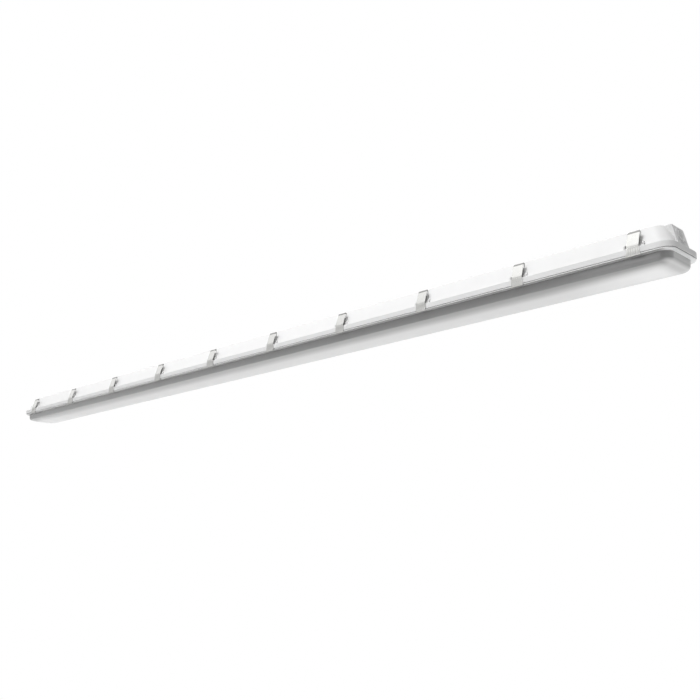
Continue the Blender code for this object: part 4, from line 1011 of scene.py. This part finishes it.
def build_clips():
    """Clips: the sheet's middle line carried across its width, with the ribs pressed through it.

    Each face of the sheet lies half its thickness from the middle line along the
    line's normal, and both rise by the ribs' height where the grip has them.
    """
    line, rise = clip_line()
    across = rib_lines()
    ahead = unit(np.gradient(line[:, :2], axis=0))
    normal = np.column_stack((-ahead[:, 1], ahead[:, 0]))
    height = RIB_HEIGHT * rise[:, None] * across[None, :, 1]
    faces_out = []
    for half in (CLIP_THICKNESS / 2, -CLIP_THICKNESS / 2):
        shift = half + height
        out = line[:, :1] + normal[:, :1] * shift
        up = line[:, 1:2] + normal[:, 1:] * shift
        x = line[:, 2:] / 2 * across[None, :, 0]
        faces_out.append(np.stack((x, -out, up), axis=-1))
    index, quads = grid(*x.shape)
    outer = quads[:, [0, 3, 2, 1]]
    border = np.concatenate((index[0, :-1], index[:-1, -1], index[-1, :0:-1], index[:0:-1, 0]))
    after = np.roll(border, -1)
    total = index.size
    edge = np.stack((border, after, after + total, border + total), axis=-1)
    points = np.concatenate([face.reshape(-1, 3) for face in faces_out])
    add_to_latches("clip", points, [np.concatenate((outer[:, ::-1], outer + total, edge))],
                   BAIL_TOP_INSET, BAIL_TOP_DEPTH, "stainless_sheet")


# -- room and camera

def dress_inner_nodes():
    """Give every node that stays its detailed finish in place of its plain one."""
    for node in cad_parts.values():
        if node.hide_render:
            continue
        for slot in node.material_slots:
            slot.material = FINISHES[slot.material.name.split(".")[0]]


def build_room():
    """Pale floor far below the hanging fixture, fading out into the white of the room.

    It is clear from underneath, so that the fixture is also seen from far below.
    """
    rings = turn_rings([(FLOOR_RADIUS * ring / FLOOR_RINGS, -FLOOR_DEPTH)
                        for ring in range(1, FLOOR_RINGS + 1)], round_angles(FLOOR_SIDES))
    mesh = bpy.data.meshes.new("studio_floor")
    hub = [list(range(FLOOR_SIDES))]
    mesh.from_pydata(rings.reshape(-1, 3).tolist(), [], skin(rings).tolist() + hub)
    floor = put("studio_floor", mesh)
    material, tree, place = new_material("painted_studio_floor")
    flat = add(tree, "ShaderNodeVectorMath", {1: (1, 1, 0)}, {0: place}, operation="MULTIPLY")
    far = add(tree, "ShaderNodeVectorMath", links={0: flat.outputs["Vector"]}, operation="LENGTH")
    fade = ramped(tree, far.outputs["Value"], *FLOOR_FADE, interpolation_type="SMOOTHSTEP")
    grain = add(tree, "ShaderNodeTexNoise", {"Scale": 9.0, "Detail": 4.0}, {"Vector": place})
    tone = mixed(tree, grain.outputs["Fac"], "#F1F1F0", "#F5F5F5")
    paint = add(tree, "ShaderNodeBsdfDiffuse", links={"Color": tone})
    clear = add(tree, "ShaderNodeBsdfTransparent")
    under = add(tree, "ShaderNodeNewGeometry").outputs["Backfacing"]
    both = add(tree, "ShaderNodeMixShader", links={0: joined(tree, "MAXIMUM", fade, under),
                                                   1: paint.outputs["BSDF"],
                                                   2: clear.outputs["BSDF"]})
    add(tree, "ShaderNodeOutputMaterial", links={"Surface": both.outputs["Shader"]})
    mesh.materials.append(material)


def build_sky():
    """White to the camera and in reflections; a dimmer dome, brighter above, lights the fixture."""
    world = bpy.data.worlds.new("studio_sky")
    bpy.context.scene.world = world
    world.use_nodes = True
    tree = world.node_tree
    tree.nodes.clear()
    path = add(tree, "ShaderNodeLightPath").outputs
    seen = joined(tree, "MAXIMUM", path["Is Camera Ray"], path["Is Glossy Ray"])
    clear = joined(tree, "MAXIMUM", seen, path["Is Transmission Ray"])
    way = add(tree, "ShaderNodeTexCoord").outputs["Generated"]
    up = add(tree, "ShaderNodeSeparateXYZ", links={"Vector": way}).outputs["Z"]
    lit = add(tree, "ShaderNodeBackground", {"Color": (1, 1, 1, 1)},
              {"Strength": ramped(tree, up, -0.3, 1.0, SKY_LOW, SKY_HIGH)})
    white = add(tree, "ShaderNodeBackground", {"Color": (1, 1, 1, 1), "Strength": 1.0})
    both = add(tree, "ShaderNodeMixShader", links={0: clear, 1: lit.outputs["Background"],
                                                   2: white.outputs["Background"]})
    add(tree, "ShaderNodeOutputWorld", links={"Surface": both.outputs["Shader"]})


def build_lamps():
    """Soft lamps: the key above, two long ones for the sheet's shine, a small one that lifts the
    first latch's grip, one behind, and two cards below."""
    for name, place, turn, length, height, radiance, mirrored in SOFTBOXES:
        lamp = bpy.data.lights.new(name, "AREA")
        lamp.shape = "RECTANGLE"
        lamp.size, lamp.size_y = length, height
        lamp.energy = radiance * math.pi * length * height
        thing = put(name, lamp)
        thing.location = place
        thing.rotation_euler = (*map(math.radians, turn), 0)
        thing.visible_glossy = mirrored


def build_camera():
    """Camera where the photograph was taken from, below the fixture and near its +X end."""
    lens = bpy.data.cameras.new("photo_camera")
    lens.sensor_width = 36.0
    lens.lens = CAMERA_LENS
    lens.clip_start, lens.clip_end = 0.05, 60.0
    camera = put("photo_camera", lens)
    camera.location = CAMERA_PLACE
    camera.rotation_euler = (math.radians(90 + CAMERA_RISE), 0.0, math.radians(CAMERA_HEADING))
    bpy.context.scene.camera = camera


def main():
    """Dress the frame, light it and look at it."""
    make_materials()
    build_housing_shell()
    build_end_pads()
    build_ears()
    build_pillars()
    build_plugs()
    build_pad_rings()
    build_gasket()
    build_lens()
    build_bails()
    build_clips()
    dress_inner_nodes()
    build_room()
    build_sky()
    build_lamps()
    build_camera()
    bpy.context.scene.view_settings.view_transform = "Standard"


main()
